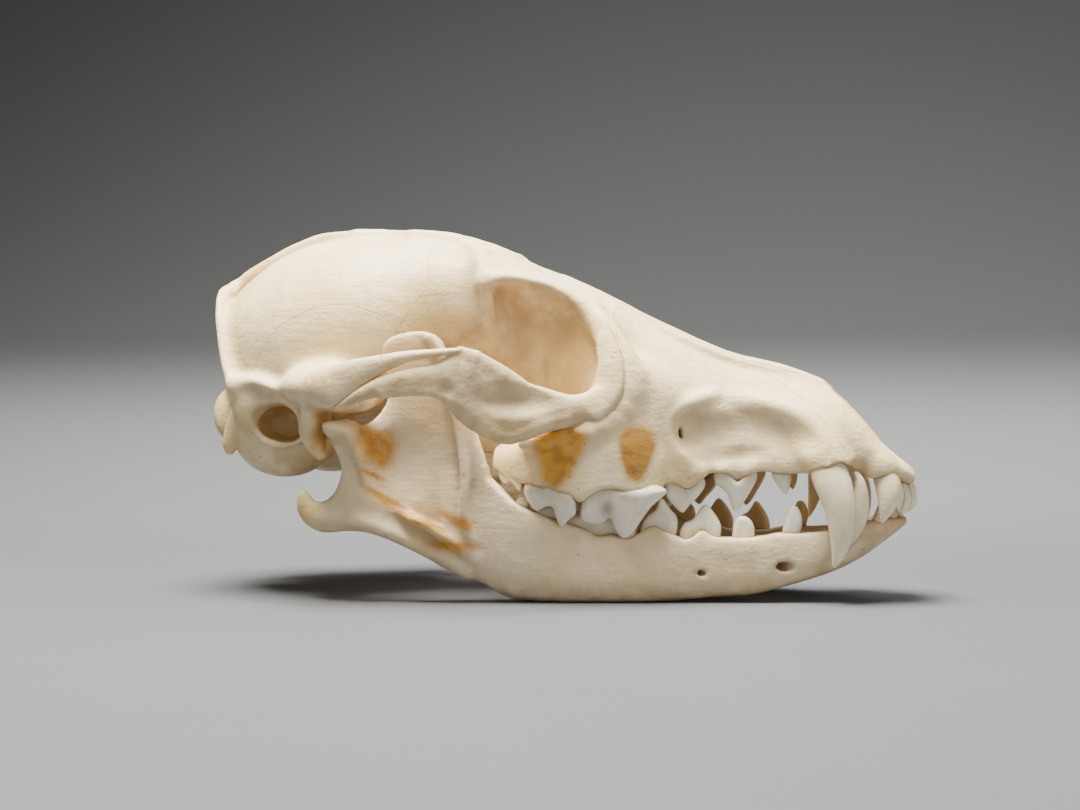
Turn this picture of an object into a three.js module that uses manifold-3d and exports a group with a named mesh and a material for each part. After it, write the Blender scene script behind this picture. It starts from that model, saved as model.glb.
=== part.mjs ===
// The skull of a jackal with its lower jaw, life size, in millimetres.
// +X runs to the nose, +Y to the animal's left, +Z up. It stands on the lower edge of the jaw at Z = 0.
import * as THREE from 'three';
import { mergeVertices } from 'three/addons/utils/BufferGeometryUtils.js';
import Module from 'manifold-3d';

const wasm = await Module();
wasm.setup();

// ---------------------------------------------------------------- driving sizes
const GAP = 0.5;               // clear space at sutures, between teeth and at the jaw joint
const INION_X = -77.2;         // rearmost point of the nuchal crest
const INION_Z = 66.5;
const CROWN_Z = 78.6;          // top of the braincase below the crest
const CREST_Z = 79.9;          // top of the sagittal crest
const NASAL_TIP_X = 61.5;
const NASAL_TIP_Z = 44.8;
const PROSTHION_X = 76.7;      // front of the upper jaw
const ALVEOLUS_Z = 26.5;       // edge of the upper tooth sockets at the muzzle
const PALATE_Z = 29.0;
const BRAIN_W = 26.0;          // half width of the braincase
const WAIST_W = 13.6;          // half width behind the orbits
const ORBITAL_W = 20.3;        // half spread of the postorbital processes
const ARCH_W = 41.3;           // half spread of the cheek arches
const CHEEK_TOOTH_W = 25.2;    // half spread across the first upper molars
const CANINE_W = 13.9;         // half spread of the upper canines
const BASE_Z = 36.2;           // underside of the braincase
const EAR_X = -55.2;
const EAR_Z = 37.0;
const BULLA_X = -57.5;
const BULLA_Y = 15.4;
const BULLA_Z = 25.4;
const FORAMEN_Z = 45.0;
const FORAMEN_W = 8.0;
const JOINT_X = -39.6;         // jaw joint
const JOINT_Z = 35.4;
const JAW_TOP_Z = 56.3;        // top of the coronoid process
const JAW_FLAT_Z = 0;          // lower edge of the jaw, which rests on the floor
const JAW_BODY_W = 4.3;        // half thickness of the jaw's body
const WALL = 1.3;              // thickness of the bone round the brain and the ear

// ---------------------------------------------------------------- small tools
// Turns a closed geometry into a solid whose faces point out, whichever way its triangles were wound.
const solid = (geometry) => {
  const g = geometry.clone();
  g.deleteAttribute('normal');
  g.deleteAttribute('uv');
  const m = mergeVertices(g, 1e-4);
  const [index, at] = [m.index.array, m.attributes.position.array];
  const kept = [];
  let volume = 0;
  for (let i = 0; i < index.length; i += 3) {
    const [a, b, c] = [index[i], index[i + 1], index[i + 2]];
    if (a === b || b === c || a === c) continue;
    kept.push(a, b, c);
    const [p, q, r] = [a, b, c].map((k) => new THREE.Vector3().fromArray(at, 3 * k));
    volume += p.dot(q.cross(r));
  }
  if (volume < 0) for (let i = 0; i < kept.length; i += 3) [kept[i], kept[i + 1]] = [kept[i + 1], kept[i]];
  return new wasm.Manifold(new wasm.Mesh({ numProp: 3, vertProperties: new Float32Array(at), triVerts: new Uint32Array(kept) }));
};
const join = (list) => list.reduce((a, b) => a.add(b));

// Smooth interpolation through the columns of a station table, sorted by its first column.
const column = (rows, k, x) => {
  let i = 0;
  while (i < rows.length - 2 && x > rows[i + 1][0]) i += 1;
  const slope = (j) => {
    const d = (n) => (rows[n + 1][k] - rows[n][k]) / (rows[n + 1][0] - rows[n][0]);
    if (j === 0) return d(0);
    if (j === rows.length - 1) return d(rows.length - 2);
    const [p, q] = [d(j - 1), d(j)];
    return p * q <= 0 ? 0 : (2 * p * q) / (p + q);
  };
  const h = rows[i + 1][0] - rows[i][0];
  const t = THREE.MathUtils.clamp((x - rows[i][0]) / h, 0, 1);
  return (2 * t ** 3 - 3 * t * t + 1) * rows[i][k] + (t ** 3 - 2 * t * t + t) * h * slope(i)
    + (-2 * t ** 3 + 3 * t * t) * rows[i + 1][k] + (t ** 3 - t * t) * h * slope(i + 1);
};

// A bone that runs along x. Each station holds x, half width, top z, widest z, bottom z, power of the upper half,
// power of the lower half and centre y. The section is two half superellipses. A drum is drawn out over it.
const loft = (rows, sides, steps, side = 1) => {
  const g = new THREE.CylinderGeometry(1, 1, 1, sides, steps);
  const p = g.attributes.position;
  const [x0, x1] = [rows[0][0], rows[rows.length - 1][0]];
  for (let i = 0; i < p.count; i += 1) {
    const x = x0 + (p.getY(i) + 0.5) * (x1 - x0);
    const r = Math.hypot(p.getX(i), p.getZ(i));
    const a = Math.atan2(p.getX(i), p.getZ(i));
    const [w, top, mid, low, nu, nl, yc] = [1, 2, 3, 4, 5, 6, 7].map((k) => column(rows, k, x));
    const up = Math.cos(a) >= 0;
    const n = up ? nu : nl;
    const c = Math.sign(Math.cos(a)) * Math.abs(Math.cos(a)) ** (2 / n);
    const s = Math.sign(Math.sin(a)) * Math.abs(Math.sin(a)) ** (2 / n);
    p.setXYZ(i, x, side * yc + r * w * s, mid + r * c * (up ? top - mid : mid - low));
  }
  return solid(g);
};

// A bone or tooth that runs along a curve. Each row holds x, y, z, half width across and half height. up leans its taller axis.
const bar = (rows, sides = 8, steps = 8, side = 1, up = [0, 0, 1]) => {
  const curve = new THREE.CatmullRomCurve3(rows.map((r) => new THREE.Vector3(r[0], side * r[1], r[2])), false, 'centripetal');
  const size = new THREE.CatmullRomCurve3(rows.map((r) => new THREE.Vector3(r[3], r[4], 0)), false, 'centripetal');
  const g = new THREE.CylinderGeometry(1, 1, 1, sides, steps);
  const p = g.attributes.position;
  const u = new THREE.Vector3(up[0], side * up[1], up[2]);
  for (let i = 0; i < p.count; i += 1) {
    const t = p.getY(i) + 0.5;
    const at = curve.getPoint(t);
    const go = curve.getTangent(t);
    const across = new THREE.Vector3().crossVectors(go, u).normalize();
    const tall = new THREE.Vector3().crossVectors(across, go);
    const r = size.getPoint(t);
    at.addScaledVector(across, -p.getX(i) * r.x).addScaledVector(tall, p.getZ(i) * r.y);
    p.setXYZ(i, at.x, at.y, at.z);
  }
  return solid(g);
};

// A rounded mass: centre, three radii, and turns about x, y and z in degrees.
const mass = (c, r, turn = [0, 0, 0], side = 1, wide = 12, high = 8) => {
  const g = new THREE.SphereGeometry(1, wide, high);
  g.rotateX(Math.PI / 2);
  g.scale(...r);
  g.applyMatrix4(new THREE.Matrix4().makeRotationFromEuler(new THREE.Euler(...turn.map((d, i) => THREE.MathUtils.degToRad(i === 1 ? d : side * d)))));
  g.translate(c[0], side * c[1], c[2]);
  return solid(g);
};

// A plate: an outline in x and z, thickened along y, then bent by a function of x and z that gives y and half thickness.
const plate = (outline, where, side = 1) => {
  const s = new THREE.Shape();
  s.moveTo(...outline[0]);
  s.splineThru(outline.slice(1).concat([outline[0]]).map((q) => new THREE.Vector2(...q)));
  const g = new THREE.ExtrudeGeometry(s, { depth: 1, bevelEnabled: false, steps: 1, curveSegments: 1 });
  g.rotateX(Math.PI / 2);
  const p = g.attributes.position;
  for (let i = 0; i < p.count; i += 1) {
    const [x, f, z] = [p.getX(i), -p.getY(i) - 0.5, p.getZ(i)];
    const [y, t] = where(x, z);
    p.setXYZ(i, x, side * (y + f * 2 * t), z);
  }
  return solid(g);
};

// A pointed tooth: a drum squeezed to its cusp. It stands on z0 and its cusp is at z1, whichever is higher.
const cusp = (x, y, z0, z1, long, wide, lean = 0, side = 1, sides = 4) => {
  const g = new THREE.CylinderGeometry(0.16, 1, 1, sides, long < 5.6 ? 1 : 2);
  const p = g.attributes.position;
  for (let i = 0; i < p.count; i += 1) {
    const t = p.getY(i) + 0.5;
    const swell = 1 + 0.5 * Math.sin(Math.PI * Math.min(1, t * 1.05)) * (1 - t) + 0.12 * Math.sin(Math.PI * t);
    const px = p.getX(i) * swell;
    const py = p.getZ(i) * swell;
    p.setXYZ(i, x + (px * long) / 2 + lean * t, side * y + (py * wide) / 2, z0 + (z1 - z0) * t);
  }
  return solid(g);
};
const box = (x0, x1, y0, y1, z0, z1) => {
  const g = new THREE.BoxGeometry(x1 - x0, y1 - y0, z1 - z0);
  g.translate((x0 + x1) / 2, (y0 + y1) / 2, (z0 + z1) / 2);
  return solid(g);
};
const both = (make) => [make(1), make(-1)];

// ---------------------------------------------------------------- cranium
// The braincase. Inset by the thickness of its wall, the same shape gives the room of the brain.
const brainStations = (inset) => [
  [-73.5, 12.0, 63.5, 54, 44],
  [-71, 18.5, 68.5, 53, 38.5],
  [-65, 23.2, 73.4, 52, BASE_Z],
  [-56, BRAIN_W - 0.3, 77.0, 52, BASE_Z - 0.6],
  [-47, BRAIN_W, CROWN_Z, 53, BASE_Z - 0.4],
  [-38, 25.0, CROWN_Z + 0.2, 55, BASE_Z + 1],
  [-30, 21.6, CROWN_Z, 57, BASE_Z + 2],
  [-23, 16.8, CROWN_Z - 0.6, 60, BASE_Z + 3],
  [-16, WAIST_W, 76.6, 62, BASE_Z + 4],
  [-9, 12.4, 73.6, 63, BASE_Z + 4],
].map(([x, w, top, mid, low]) => [x, w - inset, top - inset, mid, low + inset * 1.4, 2.05, 2.4, 0]);
const braincase = loft(brainStations(0), 16, 8);
const face = loft([
  [-14, 11.2, 70, 58, 39.5, 2, 2, 0],
  [-4, 11.6, 69, 56, 36, 2, 2, 0],
  [6, 13.6, 66.2, 52, 31, 2.0, 2.6, 0],
  [14, 17.0, 63.4, 46, PALATE_Z, 1.8, 3, 0],
  [22, 18.2, 59.6, 39, PALATE_Z - 0.6, 1.7, 4, 0],
  [30, 15.6, 55.5, 36, 27.6, 1.8, 5, 0],
  [38, 13.0, 52.3, 34, ALVEOLUS_Z + 0.4, 1.9, 5, 0],
  [46, 12.2, 50.0, 33, ALVEOLUS_Z, 2, 5, 0],
  [54, 13.1, 47.8, 33, ALVEOLUS_Z, 2, 5, 0],
  [NASAL_TIP_X, 13.4, NASAL_TIP_Z, 33, ALVEOLUS_Z, 2.1, 5, 0],
  [66, 12.4, 40.6, 31.5, ALVEOLUS_Z - 0.2, 2.2, 4, 0],
  [70.5, 11.2, 34.4, 29.5, 25.8, 2.2, 4, 0],
  [74.5, 8.6, 29.2, 27.4, 25.2, 2.2, 3, 0],
  [PROSTHION_X, 6.0, 27.2, 26.2, 24.8, 2.2, 2.4, 0],
], 12, 12);
const frontal = loft([
  [-24, 10, CROWN_Z - 0.4, 72, 66, 2, 2, 0],
  [-16, 15.4, 77.2, 72, 64, 2.2, 2, 0],
  [-10, 17.0, 74.7, 69.5, 61, 2.2, 2, 0],
  [-2, 15.0, 71.1, 66, 57, 2.2, 2, 0],
  [6, 14.2, 67.3, 62, 53, 2.2, 2, 0],
  [14, 14.6, 63.3, 57, 48, 2.1, 2, 0],
  [22, 12.0, 59.7, 52, 44, 2, 2, 0],
], 8, 5);
const crest = bar([
  [INION_X + 1.8, 0, INION_Z - 1, 2.4, 2.4], [-73.5, 0, 69.0, 1.8, 2.2], [-64, 0, 74.2, 1.3, 1.8], [-54, 0, 78.0, 1.2, 1.6],
  [-42, 0, CREST_Z - 1.4, 1.4, 1.4], [-28, 0, CROWN_Z - 0.7, 1.6, 1.2],
], 5, 6);
const nuchal = (s) => bar([
  [INION_X + 2.4, 0, INION_Z - 1.2, 3.0, 1.4], [-74.6, 9, 65.2, 3.0, 1.4], [-71.4, 16.6, 60.0, 2.9, 1.5], [-68.6, 21.6, 52.4, 2.6, 1.6],
  [-65.2, 25.0, 45.2, 2.6, 2.0], [-62.4, 25.6, 36.4, 3.6, 3.0],
], 5, 5, s, [1, 0.4, 0]);
const occiput = [
  mass([-71.6, 0, 53.6], [3.6, 17.5, 13.5], [0, -8, 0], 1, 9, 4),
  ...both((s) => mass([-73.0, 8.9, 38.2], [4.3, 5.2, 7.2], [0, 0, -22], s, 8, 5)),
];
const paracondylar = (s) => bar([[-65.0, 17.5, 43, 3.6, 3.4], [-67.8, 18.6, 36.4, 2.6, 3.0], [-69.0, 18.9, 31.0, 1.4, 1.5]], 6, 3, s, [1, 0, 0]);
const bulla = (s) => mass([BULLA_X, BULLA_Y, BULLA_Z + 9.2], [12.6, 8.6, 9.2], [0, 0, 14], s, 10, 6);
const earLip = (s) => mass([EAR_X - 0.4, 20.6, EAR_Z + 0.2], [7.0, 4.9, 5.6], [0, 0, 0], s, 8, 5);
const root = (s) => bar([
  [-61.5, 24.4, 45.2, 2.6, 1.6], [-54.5, 26.0, 44.0, 2.6, 2.0], [-47.5, 28.4, 44.2, 3.6, 3.0], [-42.6, 33.6, 44.0, 4.4, 3.4],
  [-37.4, ARCH_W - 2.4, 44.8, 2.3, 4.3], [-28.2, ARCH_W - 0.4, 48.8, 1.6, 2.3], [-20.5, ARCH_W - 0.2, 50.9, 1.3, 1.2], [-12.4, 38.6, 51.7, 0.9, 0.8],
], 6, 9, s);
const glenoid = (s) => mass([-40.2, 29.2, 43.2], [6.6, 8.6, 3.4], [0, 0, 10], s, 8, 4);
const postglenoid = (s) => mass([-46.2, 29.0, 38.6], [2.0, 5.4, 5.4], [0, 0, 12], s, 6, 4);
const postorbital = (s) => bar([[-7, 9, 71.2, 6.5, 3.2], [-9.4, 14.4, 69.8, 4.8, 2.9], [-11.2, 18.4, 67.6, 2.6, 2.0], [-12.6, ORBITAL_W, 65.4, 1.3, 1.2]], 6, 4, s);
const alveoli = (s) => loft([
  [-8.8, 3.0, 32.0, 29.0, 27.0, 2, 2.4, 17.5],
  [-4, 6.6, 34.0, 29.4, 25.4, 2, 3, 17.6],
  [3, 7.0, 37.0, 30, 24.2, 2, 3.4, 18.2],
  [10, 6.6, 39.6, 30, 22.8, 2, 3.4, 18.4],
  [18, 5.6, 43.0, 30, 23.4, 2, 3.2, 17.8],
  [26, 4.6, 41.0, 30, 24.4, 2, 3, 15.8],
  [34, 3.4, 36.0, 29, 25.4, 2, 3, 13.2],
], 7, 5, s);
const rim = (s) => bar([
  [12.4, 14.6, 61.4, 2.6, 4.0], [13.8, 17.6, 57.2, 2.5, 3.6], [17.6, 19.6, 50.0, 2.6, 4.2], [17.8, 20.6, 43.4, 2.8, 4.6],
  [11.6, 23.2, 36.6, 3.0, 4.4], [3.6, 25.6, 33.2, 2.6, 2.6],
], 6, 6, s, [1, 0, 0.3]);
const pterygoid = (s) => bar([
  [6, 7.0, 35.6, 1.0, 6.2], [-4, 7.0, 35.6, 0.9, 6.0], [-14, 6.9, 36.0, 0.9, 6.2], [-22, 6.8, 36.8, 0.9, 5.8], [-28.4, 7.0, 36.4, 0.9, 4.4],
], 6, 4, s);

// Upper teeth. They stand in the bone and point down.
const upperCanine = (s) => bar([
  [58.2, CANINE_W - 1.4, 31.5, 2.3, 3.7], [60.4, CANINE_W, 25.8, 2.45, 3.6], [62.4, CANINE_W + 0.4, 20.0, 2.2, 3.0],
  [62.9, CANINE_W + 0.2, 14.0, 1.6, 2.1], [61.2, CANINE_W - 0.4, 7.7, 0.45, 0.55],
], 7, 5, s, [1, 0, 0]);
const upperIncisors = (s) => [
  cusp(75.6, 1.75, 27.2, 18.9, 3.4, 2.5, 0.6, s),
  cusp(74.2, 5.1, 27.2, 18.4, 3.6, 2.8, 0.6, s),
  cusp(70.9, 8.8, 28.2, 17.2, 4.8, 3.9, 0.9, s),
];
const upperCheek = (s) => [
  cusp(50.2, 11.2, 29, 22.4, 3.4, 2.2, 0.5, s),                                   // P1
  cusp(40.6, 11.6, 30, 19.1, 7.6, 2.9, 0, s),                                     // P2
  cusp(30.4, 14.6, 29, 18.5, 7.8, 3.1, -0.4, s),                                  // P3
  cusp(20.4, 21.4, 27, 13.7, 9.6, 4.0, -1.4, s), cusp(13.4, 22.4, 25.5, 16.6, 5.4, 3.6, -0.4, s),   // P4, the shearing tooth
  cusp(6.4, 23.2, 26, 16.4, 6.0, 4.6, 0, s), cusp(1.2, 22.6, 26, 19.2, 4.8, 4.4, 0, s),             // M1
  mass([3.6, 17.8, 24.6], [4.4, 5.2, 2.8], [0, 0, 0], s, 8, 6),
  cusp(-3.6, 20.2, 28, 22.8, 3.2, 4.4, 0, s), cusp(-6.6, 19.6, 28.5, 24.4, 2.8, 4.0, 0, s),         // M2
];
// Behind the left canine one thin milk tooth still hangs from the upper jaw.
const milkTooth = bar([[56.6, 12.4, 30, 1.5, 1.7], [55.6, 12.9, 24.6, 1.4, 1.7], [54.5, 13.1, 19.8, 1.0, 1.1], [54.2, 13.0, 16.0, 0.35, 0.35]], 6, 4, 1, [1, 0, 0]);

// The lower canine, also used with a margin to clear the upper jaw round it.
const lowerCanine = (s, m = 0) => bar([
  [60.6, 9.6, 9.5, 2.1 + m, 2.9 + m], [63.6, 10.3, 14.5, 2.2 + m, 2.8 + m], [65.3, 11.0, 19.6, 1.9 + m, 2.4 + m],
  [65.9, 11.6, 24.0, 1.2 + m, 1.5 + m], [65.9, 11.9, 26.9 + m, 0.4 + m, 0.45 + m],
], 6, 5, s, [1, 0, 0]);

const brainRoom = [
  loft(brainStations(WALL).slice(1, 8), 10, 6),
  mass([-70.6, 0, 53.6], [3.2, 16.0, 11.8], [0, -8, 0], 1, 9, 4),
  bar([[-84, 0, FORAMEN_Z - 2.4, FORAMEN_W, 6.4], [-74, 0, FORAMEN_Z, FORAMEN_W, 6.6], [-62, 0, FORAMEN_Z + 5, FORAMEN_W + 1, 7.4]], 10, 3),
];
const noseRoom = loft([
  [55, 4.2, 42, 37, 32.0, 2, 2, 0],
  [60, 7.0, 44.0, 36.5, 29.8, 2, 2.8, 0],
  [70, 7.4, 42.0, 35, 29.0, 2, 2.6, 0],
  [84, 8.4, 40.0, 34.5, 28.4, 2, 2.4, 0],
], 8, 3);
const noseNotch = loft([
  [57.5, 4.6, 46.5, 44.4, 40, 2, 2, 0],
  [64, 7.8, 58, 42, 36, 2, 2, 0],
  [84, 10.5, 62, 36, 28.5, 2, 2, 0],
], 7, 3);
const choana = loft([
  [-34, 5.8, 41.2, 33, 24, 4, 3, 0],
  [-10, 5.8, 40.8, 33, 24, 4, 3, 0],
  [-1, 5.6, 40, 34, 29.6, 3, 3, 0],
  [9, 4.6, 38.6, 35, 31.6, 2, 2, 0],
], 6, 3);
const orbit = (s) => mass([0.4, 27.4, 55.6], [13.4, 16.2, 12.4], [0, 0, 8], s, 9, 6);
const earHole = (s) => mass([EAR_X, 24.2, EAR_Z - 0.2], [4.5, 9.6, 3.2], [0, 0, 0], s, 8, 6);
const bullaRoom = (s) => mass([BULLA_X, BULLA_Y, BULLA_Z + 9.0], [12.6 - WALL, 8.6 - WALL, 9.0 - WALL], [0, 0, 14], s, 8, 5);
const infraorbital = (s) => bar([[38, 18.2, 36.4, 1.6, 2.9], [29, 16.2, 35.4, 1.5, 2.8], [24, 15.6, 35.6, 1.0, 2.0]], 5, 2, s);

let cranium = join([
  braincase, face, frontal, crest, ...occiput,
  ...both(nuchal), ...both(paracondylar), ...both(bulla), ...both(earLip), ...both(root), ...both(glenoid),
  ...both(postglenoid), ...both(postorbital), ...both(alveoli), ...both(rim), ...both(pterygoid),
]);
for (const cut of [...brainRoom, noseRoom, noseNotch, choana, ...both(orbit), ...both(earHole), ...both(bullaRoom), ...both(infraorbital)]) cranium = cranium.subtract(cut);
cranium = join([cranium, ...both(upperCanine), ...[1, -1].flatMap(upperIncisors), ...[1, -1].flatMap(upperCheek), milkTooth]);
for (const s of [1, -1]) cranium = cranium.subtract(lowerCanine(s, GAP + 0.1));

// ---------------------------------------------------------------- cheekbones
// Lower rim of the orbit, then back below the temporal bone's process. The sutures stay open by GAP.
const cheekbone = (s, m = 0) => join([
  bar([
    [17.4, 22.6, 44.6, 1.3 + m, 3.6 + m], [12.0, 25.0, 40.6, 1.5 + m, 2.9 + m], [6.0, 27.6, 39.6, 1.7 + m, 4.0 + m], [0, 31.0, 39.6, 1.8 + m, 5.5 + m],
    [-5.4, 34.6, 41.2, 1.8 + m, 6.6 + m], [-10.6, 37.8, 46.2, 1.7 + m, 5.6 + m], [-16, 40.1, 45.9, 1.5 + m, 3.3 + m],
    [-23.4, ARCH_W, 45.6, 1.4 + m, 2.6 + m], [-30.4, ARCH_W - 0.2, 43.5, 1.2 + m, 1.4 + m], [-36.6, ARCH_W - 1.8, 40.5, 0.7 + m, 0.7 + m],
  ], m > 0 ? 5 : 7, m > 0 ? 7 : 9, s),
  bar([[12.0, 24.8, 39.6, 1.5 + m, 3.6 + m], [15.4, 23.2, 45.4, 1.4 + m, 3.8 + m], [15.2, 21.2, 51.2, 1.2 + m, 2.6 + m], [14.0, 19.6, 56.4, 0.7 + m, 1.2 + m]], m > 0 ? 4 : 5, 3, s, [1, 0, 0.2]),
]);
for (const s of [1, -1]) cranium = cranium.subtract(cheekbone(s, GAP + 0.35));

// ---------------------------------------------------------------- lower jaw
const jawBody = (s) => loft([
  [-16, 2.6, 27.0, 17, 7.4, 2.4, 2.2, 25.2],
  [-8, 3.4, 23.0, 13, 2.8, 2.6, 2.4, 23.4],
  [-2, JAW_BODY_W - 0.2, 19.2, 10, JAW_FLAT_Z - 0.45, 2.8, 2.6, 21.8],
  [8, JAW_BODY_W + 0.2, 15.4, 8, JAW_FLAT_Z - 0.35, 3, 2.6, 19.4],
  [18, JAW_BODY_W + 0.2, 13.4, 7.2, JAW_FLAT_Z - 0.35, 3, 2.6, 17.4],
  [27, JAW_BODY_W, 13.4, 7, JAW_FLAT_Z - 0.05, 3, 2.4, 15.4],
  [38, JAW_BODY_W - 0.1, 13.4, 7.4, 1.2, 3, 2.4, 12.8],
  [48, JAW_BODY_W, 14.1, 8.2, 2.4, 3, 2.4, 10.2],
  [55, JAW_BODY_W + 0.3, 14.4, 9.2, 4.2, 3, 2.4, 7.6],
  [61, JAW_BODY_W + 0.7, 15.2, 11, 6.2, 2.8, 2.4, 5.6],
  [67, JAW_BODY_W + 0.2, 16.8, 13.4, 9.2, 2.6, 2.2, 4.4],
  [72, 3.6, 17.8, 15.6, 13.8, 2.2, 2.2, 3.4],
  [74.6, 2.2, 18.0, 16.8, 15.8, 2, 2, 2.6],
], 8, 11, s);
// The ramus: coronoid process, notch, condyle neck and angular process in one outline.
const ramusOutline = [
  [-3, 21.4], [-8.6, 25.4], [-12.0, 31.6], [-13.8, 40.4], [-16.0, 48.0], [-18.6, 54.6], [-22.6, JAW_TOP_Z], [-28.2, 55.2], [-30.9, 52.2], [-29.6, 46.0], [-30.6, 41.2],
  [-34.0, 37.0], [-38.6, 36.8], [-42.2, 34.8], [-41.0, 30.6], [-40.4, 26.6], [-43.4, 22.6], [-48.4, 22.8], [-50.0, 20.2], [-47.4, 15.8], [-41.0, 15.2], [-33.0, 14.6],
  [-25.5, 12.0], [-17.0, 7.8], [-8, 4.2],
];
const ramusPlace = (x, z) => {
  const back = THREE.MathUtils.clamp((-4 - x) / 40, 0, 1);
  const high = THREE.MathUtils.clamp((z - 26) / 30, 0, 1);
  const y = 22.2 + 6.6 * Math.sin((back * Math.PI) / 2) + 0.8 * high - 1.4 * back * THREE.MathUtils.clamp((22 - z) / 10, 0, 1);
  return [y, 1.6 - 0.5 * high];
};
const ramus = (s) => plate(ramusOutline, ramusPlace, s);
const condyle = (s) => bar([[JOINT_X + 0.6, 22.6, JOINT_Z - 0.2, 1.5, 1.3], [JOINT_X, 27.0, JOINT_Z, 2.7, 2.3], [JOINT_X - 0.6, 32, JOINT_Z, 2.7, 2.2], [JOINT_X - 1.2, 36.6, JOINT_Z + 0.2, 1.4, 1.2]], 7, 4, s);
const lowerRidge = (s) => bar([[-8, 23.0, 7.0, 2.2, 2.6], [-18, 26.0, 10.6, 2.1, 2.4], [-30, 28.2, 16.4, 1.9, 2.0], [-40.5, 28.6, 19.2, 1.9, 3.0], [-47.6, 28.0, 19.6, 1.4, 2.0]], 5, 5, s);
const masseter = (s) => mass([-25.2, 33.0, 28.6], [10.6, 4.6, 12.6], [0, -30, 0], s, 8, 6);
const lowerTeeth = (s) => [
  lowerCanine(s),
  cusp(73.8, 1.7, 16, 21.0, 2.6, 2.1, 0.8, s), cusp(72.6, 4.3, 16, 21.4, 2.8, 2.4, 0.8, s), cusp(70.4, 6.9, 15.5, 22.0, 3.0, 2.8, 0.6, s),
  cusp(53.0, 9.4, 12.4, 20.2, 3.6, 2.4, -0.6, s),
  cusp(42.4, 11.6, 12.4, s < 0 ? 18.2 : 20.1, 5.4, 2.8, 0, s),
  cusp(33.4, 13.6, 12, 20.3, 7.6, 3.2, 0.4, s),
  cusp(25.2, 15.6, 12, 20.6, 7.4, 3.4, -0.4, s),
  cusp(15.4, 17.2, 12, 22.2, 7.2, 4.0, -0.8, s), cusp(18.6, 17.0, 12, 19.6, 5.0, 3.8, 0.4, s), cusp(9.0, 17.4, 14, 18.6, 6.0, 4.4, 0, s),
  cusp(2.6, 18.6, 15.6, 19.6, 5.4, 4.6, 0, s),
  cusp(-2.8, 20.2, 17.8, 21.6, 3.0, 3.0, 0, s),
];
const mandible = (s) => {
  let jaw = join([jawBody(s), ramus(s), condyle(s), lowerRidge(s)]);
  jaw = jaw.subtract(masseter(s)).subtract(box(-90, 90, -60, 60, -20, JAW_FLAT_Z));
  jaw = join([jaw, ...lowerTeeth(s)]);
  return jaw.subtract(s > 0 ? box(-90, 90, -60, GAP * 0.6, -20, 60) : box(-90, 90, -GAP * 0.6, 60, -20, 60));
};

// ---------------------------------------------------------------- the skull as a scene
const skull = new THREE.Group();
skull.name = 'jackal_skull';
const bone = { color: 0xe6d9bd, roughness: 0.62, metalness: 0 };
const add = (name, s, look) => {
  const m = s.getMesh();
  const g = new THREE.BufferGeometry();
  g.setAttribute('position', new THREE.BufferAttribute(new Float32Array(m.vertProperties), m.numProp));
  g.setIndex(new THREE.BufferAttribute(new Uint32Array(m.triVerts), 1));
  const mesh = new THREE.Mesh(g, new THREE.MeshStandardMaterial(look));
  mesh.name = name;
  skull.add(mesh);
};
add('cranium', cranium, bone);
add('cheekbone_right', cheekbone(-1), { ...bone, color: 0xe9ddc2 });
add('cheekbone_left', cheekbone(1), { ...bone, color: 0xe9ddc2 });
add('mandible_right', mandible(-1), { ...bone, color: 0xe3d4b4 });
add('mandible_left', mandible(1), { ...bone, color: 0xe3d4b4 });

export default skull;
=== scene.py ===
import math
from concurrent.futures import ThreadPoolExecutor

import bpy
import numpy as np
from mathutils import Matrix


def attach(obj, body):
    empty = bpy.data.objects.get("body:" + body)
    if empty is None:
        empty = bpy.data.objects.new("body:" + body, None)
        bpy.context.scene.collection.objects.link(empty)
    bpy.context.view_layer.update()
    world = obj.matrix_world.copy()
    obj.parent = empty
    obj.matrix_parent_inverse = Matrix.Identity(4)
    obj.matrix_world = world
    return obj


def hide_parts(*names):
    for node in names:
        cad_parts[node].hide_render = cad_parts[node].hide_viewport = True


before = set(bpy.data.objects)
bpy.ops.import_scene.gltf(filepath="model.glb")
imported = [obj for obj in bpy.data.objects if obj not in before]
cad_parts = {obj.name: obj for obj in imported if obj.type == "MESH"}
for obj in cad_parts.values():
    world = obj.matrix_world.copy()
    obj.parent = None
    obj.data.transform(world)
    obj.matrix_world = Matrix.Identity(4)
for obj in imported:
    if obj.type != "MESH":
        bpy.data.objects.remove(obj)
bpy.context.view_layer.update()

# Mesh steps in millimetres. Everything below is in millimetres until the meshes are made.
STEP = {"cranium": 0.5, "cheek": 0.45, "mandible": 0.5, "teeth": 0.32}
F4 = np.float32


# ---------------------------------------------------------------- shapes as fields: below zero is bone
def smin(a, b, k):
    if k <= 0:
        return np.minimum(a, b)
    h = np.maximum(F4(k) - np.abs(a - b), 0)
    return np.minimum(a, b) - h * h * F4(0.25 / k)


def smax(a, b, k):
    if k <= 0:
        return np.maximum(a, b)
    h = np.maximum(F4(k) - np.abs(a - b), 0)
    return np.maximum(a, b) + h * h * F4(0.25 / k)


class Pts:
    """Points as three arrays that broadcast together, with the box round them."""

    def __init__(s, x, y, z):
        s.x, s.y, s.z = x.astype(F4), np.abs(y).astype(F4), z.astype(F4)
        s.lo = (float(s.x.min()), float(s.y.min()), float(s.z.min()))
        s.hi = (float(s.x.max()), float(s.y.max()), float(s.z.max()))

    def far(s, lo, hi, m):
        a, b = s.lo, s.hi
        return (a[0] > hi[0] + m or b[0] < lo[0] - m or a[1] > hi[1] + m or b[1] < lo[1] - m
                or a[2] > hi[2] + m or b[2] < lo[2] - m)


class Prim:
    __slots__ = ("lo", "hi", "f")

    def __init__(s, lo, hi, f):
        s.lo, s.hi, s.f = tuple(float(v) for v in lo), tuple(float(v) for v in hi), f


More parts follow.
